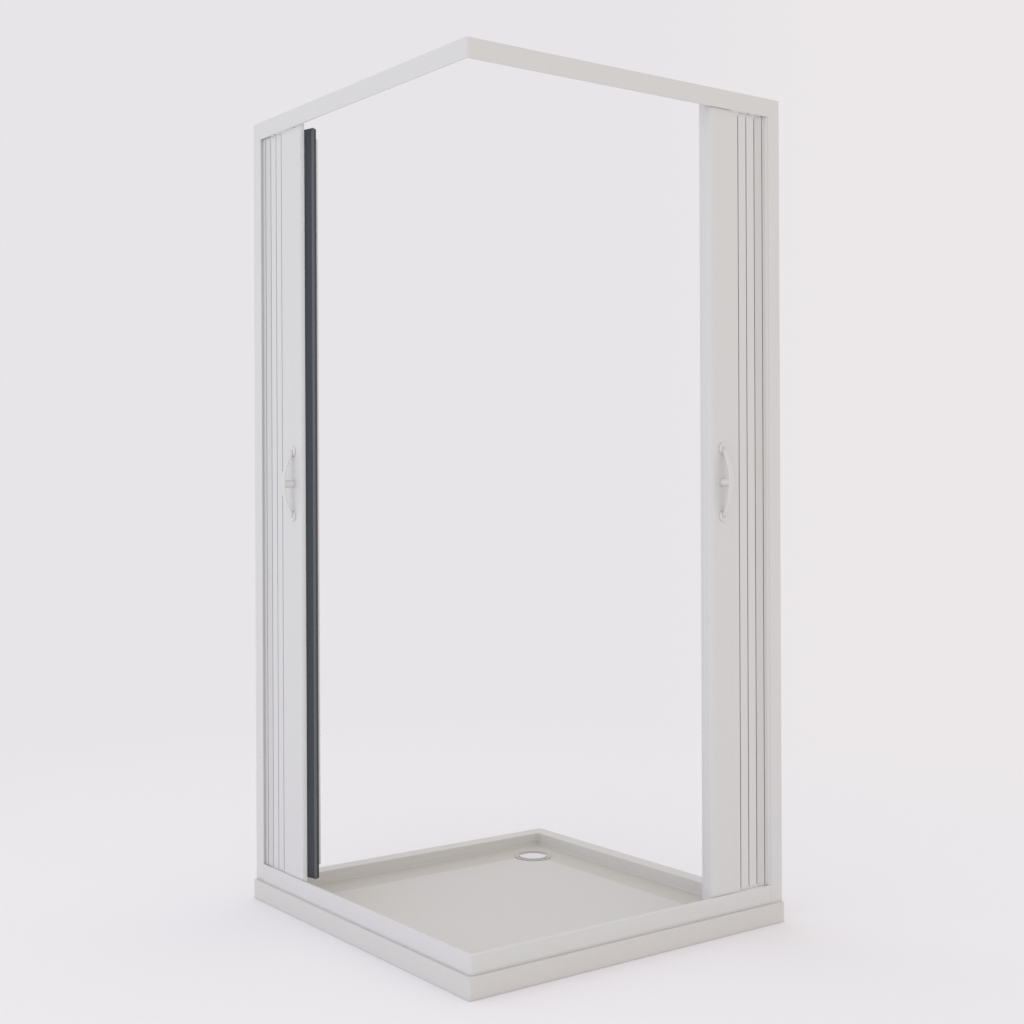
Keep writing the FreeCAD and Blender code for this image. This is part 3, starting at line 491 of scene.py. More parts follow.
def add_material(
    name, base, stretch, tone, rough, change=0.1, bump=0.0002, shade=0.45, reach=0.08, metal=0.0,
):
    """A plastic or metal finish: tone, roughness and bump from drawn grain, and painted corner shade over
    them.
    """
    if name in bpy.data.materials:
        return bpy.data.materials[name]
    material = bpy.data.materials.new(name)
    material.use_nodes = True
    tree = material.node_tree
    grain = add_node(
        tree, "ShaderNodeGroup",
        {
            "Colour": (*base, 1), "Stretch": stretch, "Tone": tone,
            "Roughness": rough, "Roughness Change": change,
        },
        node_tree=drawn_grain(),
    ).outputs
    # painted shade: within reach of other surfaces the colour darkens towards shade times the base colour
    corner = add_node(
        tree, "ShaderNodeGroup",
        {"Colour": grain["Colour"], "Shade": (*(shade * np.array(base)), 1), "Distance": reach},
        node_tree=corner_shade(),
    ).outputs
    relief = add_node(
        tree, "ShaderNodeBump", {"Height": grain["Height"], "Strength": 0.2, "Distance": bump},
    ).outputs
    feed(tree, tree.nodes["Principled BSDF"], {
        "Base Color": corner["Colour"], "Roughness": grain["Roughness"], "Normal": relief["Normal"],
        "Metallic": metal,
    })
    return material


def finishes():
    """The colours that the user has set."""
    return bpy.context.scene.enclosure_finishes


def drawn_upwards(name, base, shade, reach):
    """White plastic with the fine upright lines of an extruded upright, and painted corner shade of the given
    strength.
    """
    return add_material(
        name, base, stretch=(260, 260, 3), tone=0.03, rough=0.38, shade=shade, reach=reach,
    )


def upright_plastic():
    """White plastic of the left post and of the second and third cover strips, with strong painted corner
    shade.
    """
    return drawn_upwards("upright_plastic", finishes().pvc, shade=0.6, reach=0.012)


def open_plastic():
    """White plastic of the right post, the stiles and the catch cushion, with only faint painted corner
    shade.
    """
    return drawn_upwards("open_plastic", finishes().pvc, shade=0.92, reach=0.004)


def lining_plastic():
    """Plastic brightened with painted light, for the lining over the left stile's end, which the dark closing
    strip shades.
    """
    return drawn_upwards("lining_plastic", finishes().lining, shade=0.95, reach=0.002)


def shaded_plastic():
    """White plastic darkened with painted shade, for flanges and strips beside the posts, where the proud
    post keeps some light away.
    """
    return drawn_upwards("shaded_plastic", finishes().painted_shade_pvc, shade=0.6, reach=0.012)


def slat_plastic():
    """White plastic of the folding slats, with broader drawn lines."""
    return add_material(
        "slat_plastic", finishes().slat, stretch=(200, 200, 2), tone=0.04, rough=0.42,
        shade=0.85, reach=0.02,
    )


def level_plastic():
    """White plastic of rails and tracks, with drawn lines that lie level."""
    return add_material(
        "level_plastic", finishes().pvc, stretch=(60, 60, 240), tone=0.025, rough=0.38,
        shade=0.85, reach=0.006,
    )


def moulded_plastic():
    """White moulded plastic with a fine spark-eroded grain."""
    return add_material(
        "moulded_plastic", finishes().moulding, stretch=(900, 900, 900), tone=0.03, rough=0.35,
        bump=0.0001, shade=0.8, reach=0.006,
    )


def tray_acrylic():
    """The tray's white acrylic, with a faint cloudiness and painted shade over the basin's band."""
    name = "cast_acrylic"
    if name in bpy.data.materials:
        return bpy.data.materials[name]
    material = add_material(
        name, finishes().acrylic, stretch=(90, 90, 90), tone=0.03, rough=0.42, shade=0.9, reach=0.010,
    )
    sizes = bpy.context.scene.enclosure_tray
    plan = tray_plan(sizes)
    tree = material.node_tree
    shader = tree.nodes["Principled BSDF"]
    # painted shade over the basin's sloping band
    band = add_node(
        tree, "ShaderNodeGroup",
        {
            "Colour": shader.inputs["Base Color"].links[0].from_socket, "Band": (*finishes().band, 1),
            "Floor Half": plan.floor, "Wall Half": plan.edge + sizes.foot / 2,
        },
        node_tree=painted_band_shade(),
    )
    feed(tree, shader, {"Base Color": band.outputs["Colour"]})
    return material


def closing_rubber():
    """The dark closing strip."""
    return add_material(
        "closing_rubber", finishes().seal, stretch=(300, 300, 6), tone=0.12, rough=0.5, change=0.12,
    )


def closing_bulb():
    """The closing strip's real round bulb, in a lighter grey than the web that is painted light for its lit
    side.
    """
    return add_material(
        "closing_bulb", finishes().bulb, stretch=(300, 300, 6), tone=0.10, rough=0.45, change=0.12,
    )


def seal_rubber():
    """The waste's grey rubber seal."""
    return add_material("seal_rubber", finishes().rubber, stretch=(700, 700, 700), tone=0.2, rough=0.7)


def waste_plastic():
    """The waste body's grey plastic."""
    return add_material(
        "grey_plastic", finishes().waste, stretch=(500, 500, 500), tone=0.08, rough=0.4,
        bump=0.0001, shade=0.8, reach=0.006,
    )


def chrome():
    """The waste cover's bright chrome."""
    return add_material(
        "chrome", finishes().chrome, stretch=(400, 400, 400), tone=0.02, rough=0.08, change=0.05,
        bump=0.00005, shade=0.9, reach=0.002, metal=1.0,
    )


def glider_nylon():
    """Off-white nylon of gliders and hangers."""
    return add_material(
        "milky_nylon", finishes().nylon, stretch=(700, 700, 700), tone=0.05, rough=0.5,
        bump=0.0001, reach=0.02,
    )


def screw_steel():
    """Plated steel of the screws."""
    return add_material(
        "plated_steel", finishes().steel, stretch=(1500, 1500, 1500), tone=0.1, rough=0.32, change=0.15,
        bump=0.0001, reach=0.004, metal=1.0,
    )


def screw_lacquer():
    """White lacquer of the handles' screws."""
    return add_material(
        "screw_lacquer", finishes().lacquer, stretch=(1500, 1500, 1500), tone=0.06, rough=0.3,
        bump=0.0001, shade=0.8, reach=0.003,
    )


class ENCLOSURE_OT_kept_parts(bpy.types.Operator):
    """Give every part that keeps its own shape a finish for its material slot"""

    bl_idname = "enclosure.kept_parts"
    bl_label = "Slats and fittings"

    def execute(self, context):
        by_slot = {
            "white_pvc": upright_plastic, "slat_pvc": slat_plastic, "white_moulding": moulded_plastic,
            "tray_acrylic": tray_acrylic, "dark_seal": closing_rubber, "waste_seal_rubber": seal_rubber,
            "waste_plastic": waste_plastic, "waste_chrome": chrome, "glider_nylon": glider_nylon,
            "screw_steel": screw_steel,
        }
        slots = {part["node"]: part["material_slot"] for part in frame["record"]["subparts"]}
        for name, node in frame["nodes"].items():
            finish = screw_lacquer() if name.endswith("handle_screws") else by_slot[slots[name]]()
            node.data.materials.clear()
            node.data.materials.append(finish)
        return {"FINISHED"}


class ENCLOSURE_OT_tray(bpy.types.Operator):
    """Make the tray: a grid of the basin floor with the waste's round dish and hole, and rings outwards from
    its edge up the inner wall, over the rim, down the outside and along the underside"""

    bl_idname = "enclosure.tray"
    bl_label = "Tray"

    def execute(self, context):
        sizes = context.scene.enclosure_tray
        add_piece("tray", tray_shell(sizes), tray_acrylic(), FIXED, ("shower_tray",))
        return {"FINISHED"}


def tray_plan(sizes):
    """The tray's half widths, its heights and the place of the waste on both axes."""
    half = TRAY_HIGH[0]
    top = TRAY_HIGH[2]
    rim = half - sizes.rim
    foot = rim - sizes.wall_draft
    edge = foot - sizes.foot
    return TrayPlan(
        half=half, top=top, rim=rim, edge=edge, flat=edge - sizes.basin_corner, floor=foot - sizes.band,
        floor_z=top - sizes.wall_drop - sizes.band_drop, waste=(COVER_LOW[0] + COVER_HIGH[0]) / 2,
    )


def waste_lines(sizes, wound, square):
    """Distances of grid lines from the waste's middle, as parts of each stretch: over the hole, the seat and
    the dish, then from where the lines are still wound round it to where they are square again."""
    stretches = (
        (0, sizes.hole, (0, 6, 12, 19, 26, 32, 38)), (sizes.hole, sizes.seat, (2, 5, 8)),
        (sizes.seat, sizes.dish, (2, 4, 6, 9)), (wound, square, (0, 3, 7, 11)),
    )
    return np.concatenate([
        start + (end - start) * np.array(parts) / parts[-1] for start, end, parts in stretches
    ])


def floor_lines(plan, near):
    """Places of the floor's grid lines on both axes: even ones, close ones at the corners and beside the
    band's edge, and those of the waste in place of the ones near it."""
    clear = 0.001
    corner = np.linspace(plan.flat, plan.edge, 6)
    beside = plan.floor + np.array((-0.004, -0.0015, 0, 0.0015, 0.004))
    lines = np.concatenate((np.linspace(-plan.flat, plan.flat, 41), corner, -corner, beside, -beside))
    lines = lines[np.abs(lines - plan.waste) > near[-1] + clear]
    return np.unique(np.round(np.concatenate((lines, plan.waste + near, plan.waste - near)), 6))


def round_corners(x, y, flat, corner):
    """Inside each corner square, squares of lines become quarter discs: each share of the square's side is
    multiplied by the root of one minus half the square of the other share."""
    u = np.clip((np.abs(x) - flat) / corner, 0, 1)
    v = np.clip((np.abs(y) - flat) / corner, 0, 1)
    in_corner = (u > 0) & (v > 0)
    round_x = np.sign(x) * (flat + corner * u * np.sqrt(1 - v ** 2 / 2))
    round_y = np.sign(y) * (flat + corner * v * np.sqrt(1 - u ** 2 / 2))
    return np.where(in_corner, round_x, x), np.where(in_corner, round_y, y)


def wind_round(x, y, middle, wound, square):
    """Squares of lines about the waste become circles of the same reach; between the two distances they turn
    back into squares with a smooth step."""
    dx, dy = x - middle, y - middle
    reach = np.maximum(np.abs(dx), np.abs(dy))
    away = np.maximum(np.hypot(dx, dy), 1e-9)
    share = np.clip((square - reach) / (square - wound), 0, 1)
    share = share * share * (3 - 2 * share)
    scale = 1 + share * (reach / away - 1)
    return middle + dx * scale, middle + dy * scale


def floor_height(sizes, plan, x, y):
    """The floor's height: level in the middle, rising evenly over the band, with the dish's cone and its
    level seat cut into it; every bend is a soft ramp."""
    band_bend, seat_bend, dish_bend = 0.0015, 0.0008, 0.0004
    out = np.maximum(np.abs(x), np.abs(y)) - plan.floor
    band = plan.floor_z + soft_ramp(out, band_bend) * sizes.band_drop / sizes.band
    out = np.hypot(x - plan.waste, y - plan.waste) - sizes.seat
    steep = sizes.dish_depth / (sizes.dish - sizes.seat)
    cone = plan.floor_z - sizes.dish_depth + soft_ramp(out, seat_bend) * steep
    return band - soft_ramp(band - cone, dish_bend)


def tray_profile(sizes, plan, edge_z):
    """The rings round the floor, as half width, height and corner radius: the wall's foot and the rim's inner
    edge are quarter arcs, then come the rim, its outer edge and the foot."""
    corner = sizes.basin_corner
    outer = plan.half - sizes.edge
    outer_corner = sizes.corner - sizes.edge
    foot_out, foot_up = quarter_steps(sizes.foot)
    sine, rest = quarter_steps(sizes.edge)
    profile = [(plan.edge + a, edge_z + b, corner) for a, b in zip(foot_out[1:], foot_up[1:])]
    profile += [(plan.rim - a, plan.top - sizes.edge + b, corner) for a, b in zip(rest[-1] - rest, sine)]
    profile += [(outer - BLUNT, plan.top, outer_corner)]
    profile += [(outer + a, plan.top - b, outer_corner + a) for a, b in zip(sine, rest)]
    return profile + [(plan.half, CRISP, sizes.corner), (plan.half - CRISP, 0, sizes.corner - CRISP)]


def tray_shell(sizes):
    """The tray. The floor is a grid of uneven lines, wound round the waste near it and rounded at its outer
    corners. Each ring outside it keeps the same points' directions: a point's place on the flat sides grows
    with the ring, and its outward direction is multiplied by the ring's corner radius."""
    plan = tray_plan(sizes)
    wound = sizes.dish + 0.002
    square = sizes.dish + 0.013
    lines = floor_lines(plan, waste_lines(sizes, wound, square))
    x, y = np.meshgrid(lines, lines, indexing="ij")
    x, y = round_corners(x, y, plan.flat, sizes.basin_corner)
    x, y = wind_round(x, y, plan.waste, wound, square)
    z = floor_height(sizes, plan, x, y)
    floor = np.stack((x, y, z), axis=-1).reshape(-1, 3)
    under = floor * (1, 1, 0)
    count = len(lines)
    index = np.arange(count * count).reshape(count, count)
    cell = np.abs(lines[:-1] + lines[1:] - 2 * plan.waste) / 2
    kept = (np.maximum(cell[:, None], cell[None, :]) > sizes.hole).ravel()
    floor_faces = grid_faces(count, count, closed=False)[kept]
    # the points round the floor's edge and round the hole, in order
    border = np.concatenate((index[:-1, 0], index[-1, :-1], index[:0:-1, -1], index[0, :0:-1]))
    slack = 1e-5
    low, high = np.searchsorted(lines, (plan.waste - sizes.hole - slack, plan.waste + sizes.hole - slack))
    hole = np.concatenate((
        index[low:high, low], index[high, low:high], index[high:low:-1, high], index[low, high:low:-1],
    ))
    side = np.clip(floor[border, :2], -plan.flat, plan.flat)
    outward = (floor[border, :2] - side) / sizes.basin_corner
    rings = np.array([
        np.column_stack((side / plan.flat * (half - corner) + outward * corner, np.full(len(border), height)))
        for half, height, corner in tray_profile(sizes, plan, z[0, count // 2])
    ])
    ring_start = len(floor)
    under_start = ring_start + rings.shape[0] * rings.shape[1]
    first_ring = ring_start + np.arange(len(border))
    last_ring = under_start - len(border) + np.arange(len(border))
    points = np.concatenate((floor, rings.reshape(-1, 3), under))
    faces = np.concatenate((
        floor_faces, grid_faces(rings.shape[0], len(border), start=ring_start), joined(border, first_ring),
        joined(last_ring, under_start + border), floor_faces + under_start,
        joined(hole, under_start + hole),
    ))
    used = np.unique(faces)
    renumber = np.zeros(len(points), dtype=int)
    renumber[used] = np.arange(len(used))
    return points[used], renumber[faces].tolist()


def joined(one, other):
    """Faces between two closed rings of equally many points."""
    return np.column_stack((one, np.roll(one, -1), np.roll(other, -1), other))


class ENCLOSURE_OT_waste(bpy.types.Operator):
    """Make the waste's chrome cover: a shallow dome, falling with the square of the radius, with a rolled
    edge and a skirt down to just over the waste's flange, turned round its axis"""

    bl_idname = "enclosure.waste"
    bl_label = "Waste"

    def execute(self, context):
        middle = (COVER_LOW + COVER_HIGH) / 2
        sizes = context.scene.enclosure_tray
        radius = sizes.cover
        roll = sizes.cover_roll
        share = np.linspace(0, 1, 25)
        dome_r = share * (radius - roll)
        dome_z = COVER_HIGH[2] - sizes.cover_crown * share ** 2
        turn = np.linspace(0, np.pi / 2, 9)
        edge_r = radius - roll + roll * np.sin(turn)
        edge_z = dome_z[-1] - roll + roll * np.cos(turn)
        back_r = radius * (1 - share)
        back_z = np.full(len(share), COVER_HIGH[2] - sizes.cover_height)
        profile = np.column_stack((
            np.concatenate((dome_r, edge_r[1:], back_r)), np.concatenate((dome_z, edge_z[1:], back_z)),
        ))
        rings = turned(profile, 96) + np.array((middle[0], middle[1], 0))
        shell = (rings.reshape(-1, 3), grid_faces(*rings.shape[:2]).tolist())
        add_piece("waste_lens", shell, chrome(), FIXED, ("waste_cover",))
        return {"FINISHED"}


def carried_to_corner(side, profile, end, nose):
    """A bar's section carried from its wall end to the front corner. Points deeper than the nose radius run
    straight to the mitre; the others follow an arc about the nose's centre, through an eighth of a turn."""
    clear = 0.001
    depth, height = profile.T
    start = FRONT + depth.max() + clear
    straight = start - FRONT - np.maximum(depth, nose)
    bend = np.maximum(nose - depth, 0)
    share = 1 - (1 - np.linspace(0, 1, 21)[:, None]) ** 2
    gone = share * (straight + bend * np.pi / 4)
    turn = np.clip((gone - straight) / np.maximum(bend, 1e-9), 0, np.pi / 4)
    on_arc = gone > straight
    along = np.where(on_arc, FRONT + nose - bend * np.sin(turn), start - gone)
    inwards = np.where(on_arc & (bend > 0), nose - bend * np.cos(turn), depth)
    along = np.concatenate((np.full((1, len(depth)), end), along))
    inwards = np.concatenate((depth[None, :], inwards))
    return capped(on_wall(side, along, inwards, np.broadcast_to(height, along.shape)))


def lip_slope(sizes):
    """How steeply the rail's underside rises behind its lip; the track's top falls as steeply."""
    rail = wall_box("right_top_rail")
    return (rail.high - sizes.body + sizes.relief - rail.low) / (rail.far - sizes.lip)


def rail_section(sizes):
    """The rail's hollow section as depth and height: a lip below in front, a sloping underside cut by the
    running slot, and the hollow reached through the slot."""
    rail = wall_box("right_top_rail")
    wall = sizes.wall
    body_low = rail.high - sizes.body
    hollow = body_low + 2 * wall
    slot_near = sizes.pivot - sizes.slot / 2
    slot_far = slot_near + sizes.slot
    slope = lip_slope(sizes)
    return rounded(
        (
            (slot_near, rail.low + slope * (slot_near - sizes.lip)), (sizes.lip, rail.low),
            (rail.near, rail.low), (rail.near, rail.high), (rail.far, rail.high),
            (rail.far, body_low + sizes.relief), (slot_far, rail.low + slope * (slot_far - sizes.lip)),
            (slot_far, hollow), (rail.far - wall, hollow), (rail.far - wall, rail.high - wall),
            (rail.near + wall, rail.high - wall), (rail.near + wall, hollow), (slot_near, hollow),
        ),
        (CRISP, BROKEN, EASED, sizes.edge, sizes.edge, BLUNT) + (CRISP,) * 7,
    )


class ENCLOSURE_OT_rails(bpy.types.Operator):
    """Make the two top rails and their end caps. A rail is its hollow section carried along the wall to the
    corner, and a plain bar over the post; a cap is the bar's outline, drawn in at its end"""

    bl_idname = "enclosure.rails"
    bl_label = "Top rails"

    def execute(self, context):
        sizes = context.scene.enclosure_frame
        rail = wall_box("right_top_rail")
        post = wall_box("right_bottom_track").end
        wall_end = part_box("right_rail_cap")[1][0]
        low = rail.high - sizes.body
        section = rail_section(sizes)
        bar = rounded(
            four_corners(rail.near, rail.far, low, rail.high), (FINE, FINE, sizes.edge, sizes.edge),
            hold=HAIR,
        )
        drawn_in = rounded(
            four_corners(rail.near + EASED, rail.far - EASED, low + EASED, rail.high - EASED),
            (HAIR, HAIR, sizes.edge - EASED, sizes.edge - EASED), hold=HAIR,
        )
        cap = np.stack((bar, bar, drawn_in))
        over_post = np.array((post, rail.end))[:, None]
        over_end = np.array((rail.end, wall_end - EASED, wall_end))[:, None]
        for side in SIDES:
            shell = together(
                carried_to_corner(side, section, post, sizes.nose),
                capped(on_wall(side, over_post, bar[None, :, 0], bar[None, :, 1])),
            )
            add_piece(side + "_rail", shell, level_plastic(), FIXED, (side + "_top_rail",))
            shell = capped(on_wall(side, over_end, cap[:, :, 0], cap[:, :, 1]))
            add_piece(
                side + "_end_cap", shell, moulded_plastic(), FIXED, (side + "_rail_cap",),
            )
        return {"FINISHED"}


def screw_head(radius, dome=0.0007, recess=0.0009, arm=0.0006):
    """A domed head with a cross recess. The height falls from the dome with the square of the share of the
    radius; where the nearer middle line is within the arm's half width and the farther one within two thirds
    of the radius, the recess's depth is taken off. A cone closes it below."""
    side_slope, end_slope = 0.4 * arm, 0.1 * radius
    top = np.linspace(0, 1, 25)
    share = np.concatenate((top, (0.5, 0)))
    rings = turned(np.column_stack((share * radius, np.zeros(len(share)))))
    away = np.abs(rings[:len(top), :, :2])
    cut = np.clip((arm - away.min(axis=2)) / side_slope, 0, 1)
    cut = cut * np.clip((radius * 2 / 3 - away.max(axis=2)) / end_slope, 0, 1)
    rings[:len(top), :, 2] = dome * (1 - top[:, None] ** 2) - recess * cut
    rings[len(top):, :, 2] = -radius / 2
    return rings


class ENCLOSURE_OT_corner_screws(bpy.types.Operator):
    """Make the domed heads of the two screws in the rails' tops"""

    bl_idname = "enclosure.corner_screws"
    bl_label = "Corner screws"

    def execute(self, context):
        radius = context.scene.enclosure_frame.screw_head
        low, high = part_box("corner_screws")
        rings = screw_head(radius)
        along = high[0] - radius + rings[..., 0]
        inwards = low[1] + radius - FRONT + rings[..., 1]
        up = high[2] + rings[..., 2]
        faces = grid_faces(*rings.shape[:2]).tolist()
        heads = [(on_wall(side, along, inwards, up).reshape(-1, 3), faces) for side in SIDES]
        add_piece("corner_screw_heads", together(*heads), screw_steel(), FIXED)
        return {"FINISHED"}


class ENCLOSURE_OT_tracks(bpy.types.Operator):
    """Make the two bottom tracks: a hollow section with a soft lip above in front, a sloping top and a guide
    groove on the inner side, carried along the wall to the corner"""

    bl_idname = "enclosure.tracks"
    bl_label = "Bottom tracks"

    def execute(self, context):
        sizes = context.scene.enclosure_frame
        track = wall_box("right_bottom_track")
        wall = sizes.wall
        groove_low = track.low + sizes.groove_low
        groove_high = groove_low + sizes.groove
        body_high = track.low + sizes.body
        hollow = body_high - 2 * wall
        section = rounded(
            (
                (track.far, groove_low), (track.far, track.low), (track.near, track.low),
                (track.near, track.high), (sizes.lip, track.high), (track.far, body_high - sizes.relief),
                (track.far, groove_high), (track.far - wall, groove_high), (track.far - wall, hollow),
                (track.near + wall, hollow), (track.near + wall, track.low + wall),
                (track.far - wall, track.low + wall), (track.far - wall, groove_low),
            ),
            (CRISP, BLUNT, CRISP, sizes.track_edge, BROKEN, SOFT) + (CRISP,) * 7,
        )
        for side in SIDES:
            shell = carried_to_corner(side, section, track.end, sizes.nose)
            add_piece(side + "_track", shell, level_plastic(), FIXED, (side + "_bottom_track",))
        return {"FINISHED"}


class ENCLOSURE_OT_posts(bpy.types.Operator):
    """Make the two wall posts: outlines of the proud box with its lip, the flange beside it, the hook round
    the first slat's bead and the web that carries it, and on the right a slope, all carried straight up"""

    bl_idname = "enclosure.posts"
    bl_label = "Wall posts"

    def execute(self, context):
        sizes = context.scene.enclosure_frame
        overrun = context.scene.enclosure_leaf.overrun
        post = wall_box("right_wall_post")
        strip = wall_box("right_cover_strip_1")
        lip = wall_box("right_bottom_track").end
        box = lip + sizes.post_lip
        back = strip.near + sizes.flange
        outline = rounded(
            (
                (lip, post.near), (post.end, post.near), (post.end, post.far), (box, post.far), (box, back),
                (lip, back),
            ),
            (sizes.post_edge, SOFT, EASED, EASED, BROKEN, BROKEN),
        )
        flange = rounded(
            four_corners(post.start, lip, strip.near, back), (BLUNT, HAIR, HAIR, CRISP), hold=HAIR,
        )
        half_web = sizes.hook_web / 2
        web = rounded(
            four_corners(sizes.jamb + sizes.hook_in, box, sizes.pivot - half_web, sizes.pivot + half_web),
            HAIR, hold=HAIR / 2,
        )
        hook = hook_outline(sizes)
        step = np.array((
            (lip - sizes.post_step, strip.near), (lip, post.near + sizes.edge), (lip, strip.near),
        ))
        seen = (strip.low - overrun, strip.high + overrun)
        # the left post gets strong painted corner shade, the right post only faint painted corner shade
        for side, finish in (("left", upright_plastic()), ("right", open_plastic())):
            shell = together(
                uprights(side, outline, post.low, post.high),
                uprights(side, hook, strip.low, strip.high), uprights(side, web, strip.low, strip.high),
            )
            if side == "right":
                shell = together(shell, uprights(side, step, *seen))
            node = (side + "_wall_post",)
            add_piece(side + "_post", shell, finish, FIXED, node)
            # the post's flange is darkened with painted shade
            shell = uprights(side, flange, *seen)
            add_piece(side + "_post_flange", shell, shaded_plastic(), FIXED, node)
        return {"FINISHED"}


def hook_outline(sizes, start=math.radians(203.04), end=math.radians(461.42)):
    """Part of a ring round the first slat's bead: an outer arc one way and an inner arc back, open towards
    the neck over the whole of its turn."""
    turn = np.linspace(start, end, 33)
    both = np.concatenate((turn, turn[::-1]))
    radius = np.repeat((sizes.hook_out, sizes.hook_in), len(turn))
    return np.column_stack((sizes.jamb + radius * np.cos(both), sizes.pivot + radius * np.sin(both)))


class ENCLOSURE_OT_cover_strips(bpy.types.Operator):
    """Make the cover strips over the outer folds of both leaves: a flat outline carried straight up, and at
    each end a lug with a half round outline"""

    bl_idname = "enclosure.cover_strips"
    bl_label = "Cover strips"

    def execute(self, context):
        leaf = context.scene.enclosure_leaf
        sizes = context.scene.enclosure_frame
        turn = np.linspace(0, np.pi, 17)
        for number in STRIPS:
            node = "cover_strip_%d" % number
            strip = wall_box("right_" + node)
            middle = (strip.start + strip.end) / 2
            back = strip.near + sizes.flange
            outline = rounded(
                four_corners(strip.start, strip.end, strip.near, back),
                (leaf.strip_edge, leaf.strip_edge, FINE, FINE), hold=HAIR / 2,
            )
            lug = np.concatenate((
                np.column_stack((middle + leaf.lug * np.cos(turn), sizes.pivot + leaf.lug * np.sin(turn))),
                ((middle - leaf.lug, back - FINE), (middle + leaf.lug, back - FINE)),
            ))
            for side in SIDES:
                name = side + "_" + node
                shell = together(
                    uprights(side, outline, strip.low - leaf.overrun, strip.high + leaf.overrun),
                    uprights(side, lug, strip.low, strip.low + leaf.lug_thickness),
                    uprights(side, lug, strip.high - leaf.lug_thickness, strip.high),
                )
                # the first strip, beside the post, is darkened with painted shade
                finish = shaded_plastic() if number == STRIPS[0] else upright_plastic()
                add_piece(name + "_face", shell, finish, name, (name,))
        return {"FINISHED"}


class ENCLOSURE_OT_stiles(bpy.types.Operator):
    """Make the two lead stiles: outlines of the box with its round nose, the cover flange, the hinge bead and
    its neck, carried straight up; the box's ends follow the slopes behind the lips of rail and track"""

    bl_idname = "enclosure.stiles"
    bl_label = "Lead stiles"

    def execute(self, context):
        leaf = context.scene.enclosure_leaf
        sizes = context.scene.enclosure_frame
        strip = wall_box("right_cover_strip_1")
        strip_back = strip.near + sizes.flange
        around = np.linspace(0, 2 * np.pi, 24, endpoint=False)
        half_neck = leaf.neck / 2
        for side, nose in (("left", leaf.left_nose), ("right", leaf.right_nose)):
            stile = wall_box(side + "_stile")
            back = stile.start + leaf.stile
            outline = rounded(
                four_corners(stile.start, back, stile.near, stile.far),
                (nose, leaf.stile_edge, EASED, leaf.back), steps=12,
            )
            flange = rounded(
                four_corners(back - OVERLAP, stile.end, strip.near, strip_back),
                (HAIR, leaf.strip_edge, FINE, HAIR), hold=HAIR / 2,
            )
            middle = stile.end - leaf.bead_to_end
            bead = np.column_stack((
                middle + leaf.bead * np.cos(around), sizes.pivot + leaf.bead * np.sin(around),
            ))
            neck = np.array(
                four_corners(back - OVERLAP, middle, sizes.pivot - half_neck, sizes.pivot + half_neck),
            )
            low, high = stile.low - leaf.overrun, stile.high + leaf.overrun
            lift = lip_slope(sizes) * (outline[:, 1] - stile.near)
            shell = together(
                uprights(side, outline, low - lift, high + lift), uprights(side, flange, low, high),
                uprights(side, bead, stile.low, stile.high), uprights(side, neck, stile.low, stile.high),
            )
            add_piece(
                side + "_lead_stile_shell", shell, open_plastic(), side + "_lead_stile",
                (side + "_stile",),
            )
        return {"FINISHED"}


class ENCLOSURE_OT_end_lining(bpy.types.Operator):
    """Make the thin lining of painted light on the left stile's end, which the dark closing strip shades: a
    flat outline carried straight up, whose ends follow the slopes behind the lips as the stile's do"""

    bl_idname = "enclosure.end_lining"
    bl_label = "End lining"

    def execute(self, context):
        leaf = context.scene.enclosure_leaf
        stile = wall_box("left_stile")
        outline = rounded(
            four_corners(
                stile.start - leaf.lining, stile.start + OVERLAP, stile.near + leaf.left_nose, stile.far,
            ),
            CRISP, hold=HAIR / 2,
        )
        lift = leaf.overrun + lip_slope(context.scene.enclosure_frame) * (outline[:, 1] - stile.near)
        # a sheet of painted light over the stile's shaded end
        add_piece(
            "left_end_painted_light", uprights("left", outline, stile.low - lift, stile.high + lift),
            lining_plastic(), "left_lead_stile", ("left_stile",),
        )
        return {"FINISHED"}


class ENCLOSURE_OT_catch_cushion(bpy.types.Operator):
    """Make the right stile's catch cushion: a pillow carried straight up, which swells with the square of one
    minus the square of the share of its half width"""

    bl_idname = "enclosure.catch_cushion"
    bl_label = "Catch cushion"

    def execute(self, context):
        catch = wall_box("right_catch_strip")
        share = np.linspace(-1, 1, 17)
        pillow = np.column_stack((
            catch.end - (catch.end - catch.start) * (1 - share ** 2) ** 2,
            (catch.near + catch.far) / 2 + share * (catch.far - catch.near) / 2,
        ))
        add_piece(
            "right_catch_cushion", uprights("right", pillow, catch.low, catch.high), open_plastic(),
            "right_lead_stile", ("right_catch_strip",),
        )
        return {"FINISHED"}


class ENCLOSURE_OT_closing_profile(bpy.types.Operator):
    """Make the left stile's dark closing strip: outlines of a slanting web and a round bulb, carried straight
    up"""

    bl_idname = "enclosure.closing_profile"
    bl_label = "Closing profile"

    def execute(self, context):
        leaf = context.scene.enclosure_leaf
        strip = wall_box("left_closing_profile")
        nose = strip.end - leaf.root
        radius = leaf.bulb
        bulb = nose - leaf.bulb_reach
        web = rounded(
            (
                (strip.end, strip.near + leaf.root_edge), (strip.end, strip.near), (nose, strip.near),
                (bulb, leaf.bulb_depth - radius / 2), (bulb, leaf.bulb_depth + radius / 2),
                (nose - leaf.far_reach, strip.far), (nose, strip.far),
            ),
            (BROKEN,) * 5 + (EASED,) * 2, hold=HAIR,
        )
        turn = np.linspace(0, 2 * np.pi, 48, endpoint=False)
        ring = np.column_stack((bulb + radius * np.cos(turn), leaf.bulb_depth + radius * np.sin(turn)))
        low = strip.low - leaf.closing_overrun
        # the bulb's lighter grey is painted light for its lit side
        for name, outline, finish in (("web", web, closing_rubber()), ("bulb", ring, closing_bulb())):
            add_piece(
                "left_closing_" + name, uprights("left", outline, low, strip.high), finish,
                "left_lead_stile", ("left_closing_profile",),
            )
        return {"FINISHED"}


